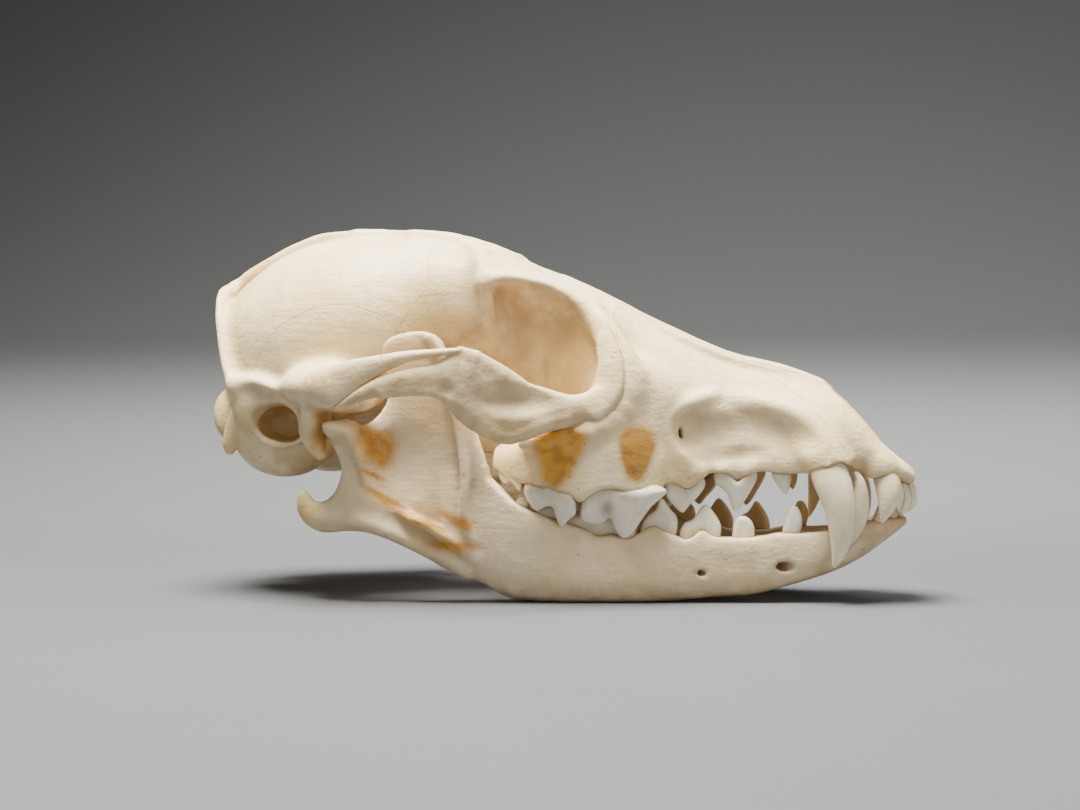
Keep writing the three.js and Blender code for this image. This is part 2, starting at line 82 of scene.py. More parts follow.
def rot(axis, deg):
    a = math.radians(deg)
    c, n = math.cos(a), math.sin(a)
    return np.array({"x": [[1, 0, 0], [0, c, -n], [0, n, c]], "y": [[c, 0, n], [0, 1, 0], [-n, 0, c]], "z": [[c, -n, 0], [n, c, 0], [0, 0, 1]]}[axis])


def ell(c, r, R=None):
    """Ellipsoid: centre, radii, and the turn of its own axes."""
    c, r = np.array(c, float), np.array(r, float)
    A = np.eye(3) if R is None else R
    ext = np.sqrt(((A * r) ** 2).sum(1))
    M = (A / r).T.astype(F4)
    q = (1 / r).astype(F4)
    c4 = c.astype(F4)

    def f(P):
        x, y, z = P.x - c4[0], P.y - c4[1], P.z - c4[2]
        if R is None:
            u, v, w = x * q[0], y * q[1], z * q[2]
        else:
            u, v, w = [M[k, 0] * x + M[k, 1] * y + M[k, 2] * z for k in range(3)]
        k0 = np.sqrt(u * u + v * v + w * w)
        u, v, w = u * q[0], v * q[1], w * q[2]
        return k0 * (k0 - 1) / (np.sqrt(u * u + v * v + w * w) + F4(1e-6))

    return Prim(c - ext, c + ext, f)


def catmull(pts, n):
    """n points evenly along a smooth curve through the rows of pts. Further columns are carried along."""
    p = np.array(pts, float)
    q = np.vstack([2 * p[0] - p[1], p, 2 * p[-1] - p[-2]])
    out = []
    for i in range(len(p) - 1):
        a, b, c, d = q[i:i + 4]
        for t in np.linspace(0, 1, 12, endpoint=False):
            out.append(0.5 * (2 * b + (c - a) * t + (2 * a - 5 * b + 4 * c - d) * t * t + (3 * b - a - 3 * c + d) * t ** 3))
    out.append(p[-1])
    out = np.array(out)
    s = np.r_[0, np.cumsum(np.linalg.norm(np.diff(out[:, :3], axis=0), axis=1))]
    u = np.linspace(0, s[-1], n)
    return np.stack([np.interp(u, s, out[:, k]) for k in range(out.shape[1])], 1)


def bar(pts, n=14, up=(0, 0, 1)):
    """Bar along a smooth curve. Rows hold x, y, z, side radius and up radius. The tall axis of its section leans along up."""
    c = catmull(pts, n)
    m = float(c[:, 3:5].max())
    up = np.array(up, float)
    segs = []
    for a, b in zip(c[:-1], c[1:]):
        mm = max(a[3:5].max(), b[3:5].max())
        d = b[:3] - a[:3]
        L = float(d @ d)
        t0 = d / math.sqrt(L)
        side = np.cross(t0, up)
        side /= np.linalg.norm(side)
        tall = np.cross(side, t0)
        segs.append((np.minimum(a[:3], b[:3]) - mm, np.maximum(a[:3], b[:3]) + mm, a.astype(F4), b.astype(F4), d.astype(F4), F4(L), side.astype(F4), tall.astype(F4), t0.astype(F4)))

    def f(P):
        best = None
        for lo, hi, a, b, d, L, side, tall, t0 in segs:
            if P.far(lo, hi, 5):
                continue
            px, py, pz = P.x - a[0], P.y - a[1], P.z - a[2]
            t = np.clip((px * d[0] + py * d[1] + pz * d[2]) / L, 0, 1)
            px, py, pz = px - t * d[0], py - t * d[1], pz - t * d[2]
            rs, ru = a[3] + t * (b[3] - a[3]), a[4] + t * (b[4] - a[4])
            rt = np.minimum(rs, ru)
            qs = (px * side[0] + py * side[1] + pz * side[2]) / rs
            qu = (px * tall[0] + py * tall[1] + pz * tall[2]) / ru
            qt = (px * t0[0] + py * t0[1] + pz * t0[2]) / rt
            k0 = np.sqrt(qs * qs + qu * qu + qt * qt)
            qs, qu, qt = qs / rs, qu / ru, qt / rt
            dd = k0 * (k0 - 1) / (np.sqrt(qs * qs + qu * qu + qt * qt) + F4(1e-6))
            best = dd if best is None else np.minimum(best, dd)
        return best

    return Prim(c[:, :3].min(0) - m, c[:, :3].max(0) + m, f)


def pchip(xs, ys, x):
    """Smooth interpolation without overshoot."""
    xs, ys = np.array(xs, float), np.array(ys, float)
    h = np.diff(xs)
    dl = np.diff(ys) / h
    d = np.zeros(len(xs))
    for i in range(1, len(xs) - 1):
        if dl[i - 1] * dl[i] > 0:
            w1, w2 = 2 * h[i] + h[i - 1], h[i] + 2 * h[i - 1]
            d[i] = (w1 + w2) / (w1 / dl[i - 1] + w2 / dl[i])
    d[0], d[-1] = dl[0], dl[-1]
    i = np.clip(np.searchsorted(xs, x) - 1, 0, len(xs) - 2)
    t = (np.clip(x, xs[0], xs[-1]) - xs[i]) / h[i]
    return ((2 * t ** 3 - 3 * t ** 2 + 1) * ys[i] + (t ** 3 - 2 * t ** 2 + t) * h[i] * d[i]
            + (3 * t ** 2 - 2 * t ** 3) * ys[i + 1] + (t ** 3 - t ** 2) * h[i] * d[i + 1])


def loft(rows):
    """A body along x whose section is two half superellipses. Rows: x, half width, top z, widest z, bottom z, top power, bottom power, centre y."""
    r = np.array(sorted(rows), float)
    x0, x1 = r[0, 0], r[-1, 0]
    gx = np.arange(x0 - 1, x1 + 1.01, 0.25)
    t = [pchip(r[:, 0], r[:, k], gx) for k in range(1, 8)]

    def f(P):
        w, zt, zc, zb, nt, nb, yc = [np.interp(P.x, gx, k).astype(F4) for k in t]
        dz = P.z - zc
        h = np.where(dz > 0, zt - zc, zc - zb)
        n = np.where(dz > 0, nt, nb)
        dy, az = np.abs(P.y - yc), np.abs(dz)
        rho = ((dy / w) ** n + (az / np.maximum(h, F4(0.3))) ** n + F4(1e-9)) ** (1 / n)
        d = np.sqrt(dy * dy + az * az) * (1 - 1 / rho)
        d = np.maximum(d, -np.minimum(w, h)) * F4(0.92)
        return np.maximum(d, np.maximum(F4(x0) - P.x, P.x - F4(x1)))

    return Prim((x0, (t[6] - t[0]).min(), t[3].min()), (x1, (t[6] + t[0]).max(), t[1].max()), f)


def outline_distance(x, z, pts):
    """Signed distance to a closed outline in x and z."""
    d, ins = None, None
    for i in range(len(pts)):
        (ax, az), (bx, bz) = pts[i], pts[(i + 1) % len(pts)]
        ex, ez = F4(bx - ax), F4(bz - az)
        px, pz = x - F4(ax), z - F4(az)
        t = np.clip((px * ex + pz * ez) / F4(ex * ex + ez * ez + 1e-9), 0, 1)
        q = (px - t * ex) ** 2 + (pz - t * ez) ** 2
        d = q if d is None else np.minimum(d, q)
        c = ((az > z) != (bz > z)) & (px < pz * F4((bx - ax) / ((bz - az) if abs(bz - az) > 1e-9 else 1e-9)))
        ins = c if ins is None else ins ^ c
    return (np.sqrt(d) * np.where(ins, F4(-1), F4(1))).astype(F4)


def rounded(pts, k=3):
    """A closed outline drawn smoothly through its points, k steps to each."""
    p = np.array(pts, float)
    out = []
    for i in range(len(p)):
        a, b, c, d = p[i - 1], p[i], p[(i + 1) % len(p)], p[(i + 2) % len(p)]
        for t in np.arange(k) / k:
            out.append(0.5 * (2 * b + (c - a) * t + (2 * a - 5 * b + 4 * c - d) * t * t + (3 * b - a - 3 * c + d) * t ** 3))
    return np.array(out)


def crown(pts, ya, yb, t, tip, s0=1.5, neck=None, smooth=3):
    """A tooth drawn from its outline seen from the side. y runs from ya at its rear to yb at its front, t is half its thickness,
    tip the share of t that is left at the cusp, and neck the z where the thickness is whole."""
    o = rounded(pts, smooth)
    x0, x1, z0, z1 = o[:, 0].min(), o[:, 0].max(), o[:, 1].min(), o[:, 1].max()
    zn, zt = neck
    m = t + 0.2

    def f(P):
        s = outline_distance(P.x, P.z, o)
        yc = F4(ya) + (P.x - F4(x0)) / F4(x1 - x0) * F4(yb - ya)
        h = np.clip((P.z - F4(zn)) / F4(zt - zn), 0, 1)
        tt = F4(t) * (1 - F4(1 - tip) * h)
        a = np.maximum(1 + s / F4(s0), 0)
        b = (P.y - yc) / tt
        return (np.sqrt(a * a + b * b) - 1) * F4(min(t, s0) * 0.9)

    return Prim((x0, min(ya, yb) - m, z0), (x1, max(ya, yb) + m, z1), f)


class Shape:
    """Parts that are added and cut in order, each blended over its own width."""

    def __init__(s):
        s.ops = []

    def add(s, p, k=0.0):
        s.ops.append((0, p, k))

    def cut(s, p, k=0.0):
        s.ops.append((1, p, k))

    def __call__(s, P):
        d = None
        for kind, p, k in s.ops:
            if (kind and d is None) or P.far(p.lo, p.hi, k * 1.1 + 1.6):
                continue
            v = p.f(P)
            if v is None:
                continue
            if kind:
                d = smax(d, -v, k)
            else:
                d = v if d is None else smin(d, v, k)
        return d


def mix(parts, k):
    """Several parts blended into one."""
    lo = np.min([p.lo for p in parts], 0)
    hi = np.max([p.hi for p in parts], 0)

    def f(P):
        d = None
        for p in parts:
            if P.far(p.lo, p.hi, 4):
                continue
            v = p.f(P)
            if v is not None:
                d = v if d is None else smin(d, v, k)
        return d

    return Prim(lo, hi, f)


def where(lo, hi, f):
    return Prim(lo, hi, f)


# ---------------------------------------------------------------- edges of the tooth sockets, seen from the side
UPPER_EDGE = np.array([
    (-9, 27.4), (-6, 26.2), (-2, 24.6), (0.5, 24.4), (3.8, 22.7), (6.7, 22.6), (9.2, 21.3), (10.1, 20.9), (12.4, 22.4), (15.4, 23.6), (17.2, 23.6), (20.0, 22.8), (22.1, 22.2), (24.2, 23.0),
    (25.6, 23.1), (27.3, 25.0), (29.2, 24.6), (30.9, 23.5), (33.4, 24.9), (35.8, 26.8), (38.2, 26.8), (41.3, 24.7), (44.0, 26.7), (46.2, 27.1), (50.0, 26.7), (55.7, 26.8), (59.3, 27.9), (62.6, 29.2),
    (65.4, 27.4), (68.6, 25.8), (71.2, 26.4), (74.3, 25.2), (77.5, 24.0)])
LOWER_EDGE = np.array([
    (-12, 31.0), (-9.8, 26.8), (-6.2, 22.8), (-3.1, 20.2), (1.4, 18.2), (4.7, 17.0), (10.7, 14.9), (13.6, 13.6), (16.4, 14.0), (19.4, 13.2), (21.6, 14.4), (24.2, 15.8), (26.3, 14.8), (28.8, 13.8),
    (30.8, 13.0), (32.3, 13.5), (34.2, 14.9), (36.1, 13.8), (37.9, 13.4), (42.0, 13.4), (46.0, 13.7), (50.5, 14.5), (54.5, 14.5), (60.0, 15.0), (65.0, 16.4), (70.0, 17.2), (76.0, 17.6)])
TOOTH_Y = np.array([(-9, 20.5), (4, 24.5), (14, 23.8), (22, 22.0), (30, 15.0), (40, 12.0), (50, 11.5), (60, 13.5), (70, 9), (77, 3)])


def edge_z(table, x):
    return pchip(table[:, 0], table[:, 1], x).astype(F4)


def below_upper_edge(P):
    z = edge_z(UPPER_EDGE, P.x)
    inner = np.clip(np.interp(P.x, TOOTH_Y[:, 0], TOOTH_Y[:, 1]).astype(F4) - P.y, 0, 8)
    palate = np.interp(P.x, [-10, 40, 60, 68, 78], [28.6, 28.2, 27.6, 26.8, 24.8]).astype(F4)
    raised = z + (np.maximum(palate, z) - z) * np.clip(inner / 5, 0, 1)
    lowered = raised + (np.minimum(palate, raised) - raised) * np.clip((inner - 1.5) / 3, 0, 1)
    return np.maximum(P.z - lowered, F4(-10.5) - P.x)


# ---------------------------------------------------------------- cranium
BRAIN = loft([
    (-75.2, 6.0, 58.0, 52, 46.0, 2, 2, 0), (-73.6, 13.0, 63.5, 53, 42.0, 2, 2, 0), (-71.5, 18.0, 67.5, 53, 38.6, 2, 2.2, 0), (-67, 22.0, 71.6, 52.5, 36.6, 2, 2.5, 0), (-61, 24.8, 75.2, 52, 35.8, 2, 2.8, 0),
    (-54, 26.2, 77.6, 52.5, 35.4, 2, 3, 0), (-46, 26.2, 78.7, 53.5, 35.8, 2, 3, 0), (-39, 25.1, 78.9, 55, 36.8, 2, 2.6, 0), (-32, 22.4, 78.6, 57, 38, 2, 2.2, 0),
    (-26, 18.6, 78.2, 59, 39, 2, 2, 0), (-20, 15.0, 77.5, 61, 40, 2.05, 2, 0), (-15, 13.7, 76.2, 62, 41, 2.1, 2, 0), (-9, 13.0, 73.6, 62, 42, 2.2, 2, 0)])
FACE = loft([
    (2, 11.0, 66.5, 56, 36, 2, 2, 0), (8, 13.6, 65.6, 54, 32, 2, 2.2, 0), (14, 16.6, 63.2, 47, 27, 2, 2.8, 0), (20, 17.8, 60.6, 41, 23.6, 1.75, 3.4, 0), (26, 16.6, 57.7, 37.5, 22.4, 1.75, 5, 0),
    (32, 15.0, 54.7, 35.5, 22.6, 1.8, 6, 0), (38, 13.6, 52.3, 34.5, 23.4, 1.85, 6, 0), (44, 12.9, 50.9, 34, 24.0, 1.9, 6, 0), (50, 12.9, 49.3, 33.5, 24.2, 1.95, 6, 0),
    (56, 13.4, 47.2, 33, 24.4, 2.0, 6, 0), (61.3, 13.5, 44.8, 32.5, 25.0, 2.05, 5, 0), (65, 12.5, 41.7, 31.5, 24.8, 2.1, 4.4, 0), (68, 11.5, 38.1, 30.5, 24.0, 2.1, 3.8, 0),
    (71, 10.7, 33.6, 29.2, 23.6, 2.1, 3.2, 0), (74, 9.2, 30.2, 27.8, 23.6, 2.1, 2.8, 0), (76.2, 7.0, 28.0, 26.6, 23.8, 2.1, 2.4, 0), (77.2, 4.6, 26.8, 25.9, 24.4, 2, 2, 0)])
FRONT = loft([
    (-30, 9, 78.0, 73, 66, 2, 2, 0), (-22, 12.0, 78.0, 72.5, 65, 2.2, 2, 0), (-16, 14.6, 76.4, 71.4, 64, 2.3, 2, 0), (-10, 16.2, 74.3, 69.6, 62, 2.3, 2, 0), (-4, 15.9, 71.8, 67.3, 58, 2.2, 2, 0),
    (2, 15.4, 69.1, 64.6, 55, 2.2, 2, 0), (8, 14.8, 66.3, 61, 52, 2.2, 2, 0), (14, 13.8, 62.8, 57, 49, 2.1, 2, 0), (20, 10.0, 58.0, 52, 46, 2, 2, 0), (26, 5.0, 53.0, 48, 44, 2, 2, 0)])
CORE = loft([
    (-34, 9, 56, 48, 38.6, 2, 2, 0), (-22, 9.6, 66, 54, 38.6, 2, 1.8, 0), (-12, 10.6, 68, 56.5, 36.4, 2, 1.7, 0), (-4, 11.4, 68, 57, 33.4, 2, 1.6, 0), (4, 12.4, 66, 56, 30.6, 2, 1.7, 0), (11, 12.0, 59, 50, 32.0, 2, 2.2, 0), (17, 8.0, 54, 44, 34, 2, 2, 0)])
SOCKETS = loft([
    (-9.4, 3.6, 32.0, 28.6, 25.6, 2, 3, 17.4), (-5, 6.3, 34.4, 29.0, 23.4, 2, 4, 17.9), (2, 7.5, 37.0, 29.6, 21.0, 2, 5, 18.4), (9, 7.4, 39.6, 30, 19.2, 2, 6, 18.8), (16, 6.8, 42.0, 30, 19.6, 2, 6, 18.3),
    (22, 6.0, 42.6, 30, 20.6, 2, 6, 16.9), (28, 4.6, 39.9, 30, 22.4, 2, 5, 14.0), (34, 3.2, 36, 29.6, 23.6, 2, 4, 12.0)])
NOSE_ROOM = loft([(30, 2.6, 40, 37, 34, 2, 2, 0), (44, 5.4, 45.6, 38, 31.6, 2, 2.4, 0), (54, 6.6, 45.2, 37.5, 30.6, 2, 2.6, 0), (62, 7.0, 43.6, 36.5, 30, 2, 2.8, 0), (70, 7.4, 42, 35, 29.2, 2, 2.6, 0), (86, 8.2, 40, 34.5, 28.6, 2, 2.4, 0)])
NOSE_NOTCH = loft([(58.2, 3.2, 46.4, 44.6, 41, 2, 2, 0), (61.4, 6.0, 54, 43.2, 38, 2.2, 2, 0), (66, 8.2, 58, 41, 34, 2.2, 2, 0), (72, 9.4, 60, 37, 29.6, 2.2, 2, 0), (86, 10, 62, 35, 28.4, 2, 2, 0)])
CHOANA = loft([(-33, 5.8, 40.4, 33, 20, 4, 3, 0), (-10, 5.8, 40.6, 33, 20, 4, 3, 0), (-1.5, 5.6, 40, 34, 27, 3, 2.4, 0), (3, 5.0, 39.4, 35, 30.6, 3, 2, 0), (14, 4.4, 38.4, 35, 31.8, 2, 2, 0)])
PALATE = loft([(-4, 9, 30.4, 18, 0, 3, 2, 0), (6, 10.6, 29.8, 18, 0, 2.6, 2, 0), (20, 10.4, 29.4, 18, 0, 2.4, 2, 0), (40, 8.4, 29.0, 18, 0, 2.4, 2, 0), (60, 8.4, 28.8, 18, 0, 2.4, 2, 0), (72, 6.2, 27.6, 18, 0, 2.4, 2, 0), (78.5, 4, 25.6, 18, 0, 2.4, 2, 0)])


def cranium_shape():
    F = Shape()
    F.add(BRAIN); F.add(CORE, 4); F.add(FACE, 4); F.add(FRONT, 3.5)
    F.add(SOCKETS, 3.0)
    # ridge from the brow down the front of the orbit to the root of the cheek arch
    F.add(bar([(9.6, 13.2, 61.8, 1.8, 1.7), (12.4, 15.8, 58.6, 2.0, 2.4), (16.2, 18.8, 52.0, 2.4, 3.8), (18.2, 20.2, 46.0, 2.8, 4.6), (16.0, 21.4, 40.6, 3.0, 4.6), (9.5, 23.6, 36.0, 2.8, 4.0), (3.2, 25.8, 33.6, 2.0, 2.4), (-1.0, 27.6, 33.0, 1.2, 1.4)], 18, (1, 0, 0.3)), 3.2)
    F.add(ell((20, 14.5, 41), (9, 6.0, 9)), 4)
    # the canine's root, a long swelling on the muzzle, and the roots of the front teeth
    F.add(bar([(60.6, 13.0, 28.0, 3.1, 4.7), (58.0, 12.6, 32.0, 3.0, 4.6), (53.5, 11.6, 36.8, 2.6, 3.9), (47.5, 10.6, 40.2, 2.2, 2.9), (40, 9.6, 42.2, 1.5, 1.8)], 16, (1, 0, 0)), 1.8)
    F.add(ell((70.6, 8.5, 27.4), (2.6, 2.7, 3.8)), 1.8)
    F.add(ell((73.8, 5.2, 26.4), (1.6, 1.8, 2.6)), 1.4)
    F.add(ell((75.1, 1.9, 25.9), (1.4, 1.5, 2.4)), 1.2)
    for x, y, z, h in ((43.6, 12.3, 29.4, 3.6), (37.8, 12.9, 29.4, 3.8), (33.0, 14.2, 28.4, 3.8), (27.6, 15.8, 28.4, 3.8), (24.8, 19.2, 27.6, 4.6), (13.0, 23.9, 26.0, 4.4), (7.2, 25.0, 25.8, 3.6), (1.4, 24.6, 26.8, 3.4)):
        F.add(ell((x, y, z), (1.8, 1.3, h)), 1.5)
    # nose bones
    F.add(bar([(61.2, 2.6, 43.6, 2.6, 1.2), (50, 2.9, 48.2, 2.7, 1.2), (38, 3.2, 51.3, 2.7, 1.2), (24, 3.2, 57.4, 2.6, 1.2), (12, 3.0, 63.0, 2.2, 1.1), (2, 2.4, 68.0, 1.6, 0.9)], 16), 1.6)
    # brow and postorbital process
    F.add(bar([(10.5, 12.6, 61.0, 1.4, 1.2), (2, 15.4, 65.6, 1.8, 1.4), (-5, 16.7, 67.7, 1.9, 1.4), (-9.4, 17.3, 67.7, 1.7, 1.3), (-11.8, 17.8, 66.9, 1.0, 1.0)], 16), 2.4)
    F.add(bar([(-15.4, 10.6, 71.8, 3.0, 1.2), (-13.2, 14.6, 69.8, 2.4, 1.4), (-12.0, 17.2, 67.6, 1.5, 1.2), (-11.9, 17.2, 65.2, 1.2, 1.2), (-12.2, 15.6, 61.0, 1.8, 1.8), (-14.2, 13.8, 57.0, 2.2, 2.2), (-18.0, 13.0, 53.4, 2.4, 2.4)], 20, (1, 0, 0)), 3.2)
    F.add(ell((-22.0, 14.6, 62.5), (8.5, 4.4, 9.5)), 4.0)
    # temporal lines and crest
    F.add(bar([(-13, 13.0, 73.6, 1.3, 0.8), (-19, 8.6, 76.9, 1.4, 0.8), (-27, 4.6, 78.6, 1.4, 0.8), (-36, 2.2, 79.3, 1.4, 0.7), (-46, 0.8, 79.5, 1.3, 0.9)], 16), 2.2)
    F.add(bar([(-40, 0, 79.2, 1.3, 0.9), (-52, 0, 79.3, 1.1, 1.1), (-60, 0, 77.0, 1.1, 1.3), (-67, 0, 73.4, 1.2, 1.6), (-73, 0, 69.8, 1.4, 1.8), (-76.2, 0, 66.9, 1.7, 1.4)], 18), 2.0)
    # nuchal crest and the back of the skull
    F.add(bar([(-75.8, 0, 66.4, 2.6, 1.4), (-75.0, 5, 66.0, 2.6, 1.2), (-73.6, 11, 64.2, 2.6, 1.1), (-71.6, 16.4, 60.2, 2.6, 1.1), (-69.6, 20.0, 55.0, 2.5, 1.1), (-67.4, 23.0, 49.0, 2.4, 1.2), (-64.8, 25.2, 44.2, 2.2, 1.4)], 30, (1, 0.35, 0.25)), 2.6)
    F.add(ell((-70.6, 0, 53), (4.6, 15.5, 12.5), rot("y", 8)), 2.0)
    F.add(ell((-74.0, 0, 58.4), (1.6, 2.4, 6.4), rot("y", 10)), 1.8)
    F.add(ell((-62.8, 24.2, 40.4), (3.6, 2.9, 5.8), rot("x", -8)), 2.4)
    F.add(bar([(-64.2, 16.8, 43, 3.4, 3.6), (-67.2, 18.2, 37.6, 2.2, 2.9), (-69.2, 18.8, 32.6, 1.3, 1.9), (-69.4, 18.8, 30.9, 0.9, 1.2)], 10, (1, 0, 0)), 2.2)
    F.add(ell((-70.5, 9.2, 38.6), (7.2, 4.4, 6.4), rot("z", 18) @ rot("y", -18)), 2.2)
    F.add(ell((-73.0, 8.6, 38.6), (3.5, 4.4, 6.6), rot("y", -14) @ rot("x", 26) @ rot("z", 24)), 0.8)
    # ear region
    F.add(ell((-57.8, 15.2, 34.4), (12.4, 8.6, 9.2), rot("z", 14)), 1.2)
    F.add(ell((-52.0, 12.2, 34.8), (8.6, 5.2, 6.4), rot("z", 24)), 1.6)
    F.add(ell((-55.4, 20.4, 36.8), (6.8, 4.8, 5.6)), 2.0)
    F.add(bar([(-61.0, 24.6, 39.4, 0.8, 0.8), (-58.8, 25.2, 41.6, 0.8, 0.8), (-54.8, 25.4, 41.9, 0.9, 0.8), (-51.2, 25.4, 40.2, 0.9, 0.8), (-49.0, 25.2, 37.0, 0.7, 0.8), (-50.2, 25.1, 33.8, 0.5, 0.7), (-54.6, 25.0, 32.4, 0.45, 0.6), (-59.0, 24.6, 33.2, 0.5, 0.7), (-61.4, 24.4, 36.4, 0.7, 0.8)], 30), 1.0)
    F.add(ell((-60.2, 22.6, 43.0), (4.6, 3.4, 4.4)), 2.4)
    # root of the cheek arch on the temporal bone
    F.add(bar([(-65, 25.0, 45.4, 2.0, 1.3), (-60, 26.0, 45.9, 2.0, 1.3), (-54, 27.0, 44.2, 2.4, 1.4), (-49, 29.0, 44.3, 3.2, 2.0), (-44.6, 33.2, 44.3, 4.0, 2.9), (-41, 37.4, 44.5, 3.0, 4.0), (-37.4, 39.2, 44.8, 1.5, 4.3), (-32.6, 40.3, 47.2, 1.3, 3.2), (-27.6, 40.9, 49.0, 1.2, 2.1), (-22, 40.8, 50.6, 1.1, 1.2), (-16, 39.8, 51.3, 1.0, 0.9), (-12, 38.6, 51.8, 0.7, 0.6)], 36), 2.2)
    F.add(ell((-44.5, 27, 45.4), (8.5, 8, 4.6), rot("x", -6)), 3.0)
    F.add(ell((-40.0, 29.6, 41.9), (6.0, 8.0, 2.8), rot("z", -8)), 1.8)
    F.add(bar([(-47.2, 22.5, 38.4, 2.4, 5.0), (-46.8, 27, 37.6, 2.4, 5.6), (-46.0, 31.4, 38.4, 2.0, 4.8), (-45.0, 34.4, 40.6, 1.5, 3.2)], 10), 1.8)
    F.add(bar([(-47.2, 26.0, 37.6, 2.2, 2.4), (-46.2, 27.6, 33.6, 1.7, 2.2), (-44.9, 28.4, 30.8, 0.8, 1.2)], 8, (0, 1, 0)), 1.6)
    F.add(bar([(-50.4, 25.2, 40.2, 2.2, 2.4), (-48.8, 26.0, 36.8, 2.0, 2.6), (-46.8, 27.0, 33.2, 1.6, 2.2), (-45.0, 28.0, 30.6, 0.8, 1.0)], 8, (0, 1, 0)), 1.8)
    F.add(ell((-37.2, 24.4, 43.2), (5.2, 6.4, 3.2)), 2.0)
    F.add(bar([(-35.6, 25.6, 41.8, 1.2, 1.2), (-34.9, 30.6, 41.6, 1.4, 1.6), (-36.0, 36, 42.4, 1.2, 1.4)], 7), 1.6)
    # palatine and pterygoid plates
    F.add(bar([(6, 7.4, 36, 0.8, 6.0), (-3, 7.3, 36.0, 0.75, 6.6), (-11, 7.1, 36.6, 0.75, 6.6), (-19, 7.0, 37.2, 0.75, 6.4), (-25, 7.2, 37.4, 0.75, 5.6), (-28.6, 7.6, 36.6, 0.7, 4.6)], 12), 1.2)
    F.add(bar([(-26.4, 7.4, 33.4, 0.8, 1.4), (-28.6, 7.7, 31.6, 0.7, 1.1), (-30.6, 8.1, 31.0, 0.5, 0.6)], 5), 0.8)
    F.add(bar([(-30, 9.5, 39.5, 3.0, 2.0), (-24, 8.8, 40.4, 2.6, 2.6), (-16, 8.2, 41.6, 2.0, 3.2)], 6), 2.5)
    # orbit, tear duct and the hollow below the orbit
    F.cut(ell((0.2, 27.8, 55.6), (13.0, 16.2, 13.2), rot("y", 14)), 1.3)
    F.cut(ell((-4.6, 22.0, 43.8), (11.8, 10.8, 7.8), rot("z", -8)), 2.0)
    F.cut(ell((-12, 19.4, 47.4), (10, 7.6, 8.4)), 2.4)
    F.cut(ell((10.2, 17.2, 53.4), (2.4, 1.1, 1.3), rot("z", 24)), 0.6)
    F.cut(NOSE_ROOM, 0.8); F.cut(NOSE_NOTCH, 0.8); F.cut(CHOANA, 0.9)
    # hollow in front of the infraorbital opening, with its sharp curved lip behind
    F.add(bar([(36.0, 11.6, 43.0, 0.8, 0.8), (32.4, 13.6, 41.8, 1.1, 1.1), (29.4, 15.2, 39.0, 1.3, 1.3), (27.8, 15.9, 34.4, 1.5, 1.5), (28.2, 15.8, 30.2, 1.3, 1.3), (31.0, 14.6, 27.6, 0.8, 0.8)], 22), 2.4)
    F.cut(ell((37.2, 17.6, 35.4), (9.0, 5.4, 7.2), rot("z", -6) @ rot("y", 12)), 0.9)
    F.cut(ell((47.0, 17.9, 36.0), (11.0, 6.2, 5.2), rot("y", 14)), 2.8)
    F.cut(ell((42.0, 16.8, 30.6), (9.0, 4.4, 2.4), rot("y", -6)), 2.0)
    F.cut(bar([(29.5, 15.0, 34.8, 0.35, 1.1), (28.4, 14.4, 35.0, 0.6, 1.5), (26, 13.4, 35.6, 0.6, 1.4)], 8), 0.7)
    # palate, sockets' edges, openings behind the incisors, seat of the lower canine
    F.cut(PALATE, 1.0)
    F.cut(where((-12, 0, -30), (79, 30, 31), below_upper_edge), 0.5)
    F.cut(ell((64.6, 2.9, 27.8), (3.2, 1.3, 3)), 0.5)
    F.cut(ell((66.3, 13.6, 26.0), (2.3, 3.4, 3.8)), 0.9)
    # ear opening, jugular and other openings of the base
    F.cut(ell((-55.3, 26.2, 37.1), (5.9, 7.6, 3.9), rot("y", 12)), 0.5)
    F.cut(ell((-56.2, 20.6, 36.4), (5.6, 4.2, 4.2)), 0.8)
    F.cut(ell((-66.6, 12.6, 35.2), (2.0, 3.0, 2.4), rot("z", 30)), 0.8)
    F.cut(ell((-71.2, 11.6, 35.6), (1.0, 1.0, 1.6)), 0.5)
    F.cut(ell((-45.2, 9.4, 37.2), (1.6, 1.4, 2.6)), 0.6)
    F.cut(ell((-36.6, 11.6, 38.8), (2.0, 1.1, 2.0), rot("z", -12)), 0.6)
    F.cut(ell((-43.4, 16.2, 37.2), (2.4, 1.5, 2.2), rot("z", 20)), 0.6)
    F.cut(ell((-21, 11.4, 45.0), (2.4, 3.6, 1.2), rot("z", -20)), 0.6)
    F.cut(ell((-17.0, 11.0, 45.6), (1.4, 3.0, 1.2), rot("z", -20)), 0.5)
    # foramen magnum and the room of the brain
    F.cut(bar([(-86, 0, 41.6, 8.0, 6.2), (-76, 0, 44.4, 8.0, 6.5), (-69, 0, 46.6, 8.2, 7.0), (-60, 0, 50, 9.5, 8)], 10), 0.9)
    F.cut(where((-68.6, 0, 37), (-22, 26, 78), lambda P: np.maximum(np.maximum(np.maximum(BRAIN.f(P) + F4(2.5), P.x + 22), F4(-66.4) - P.x), F4(43.0) - P.z)), 0.5)
    return F


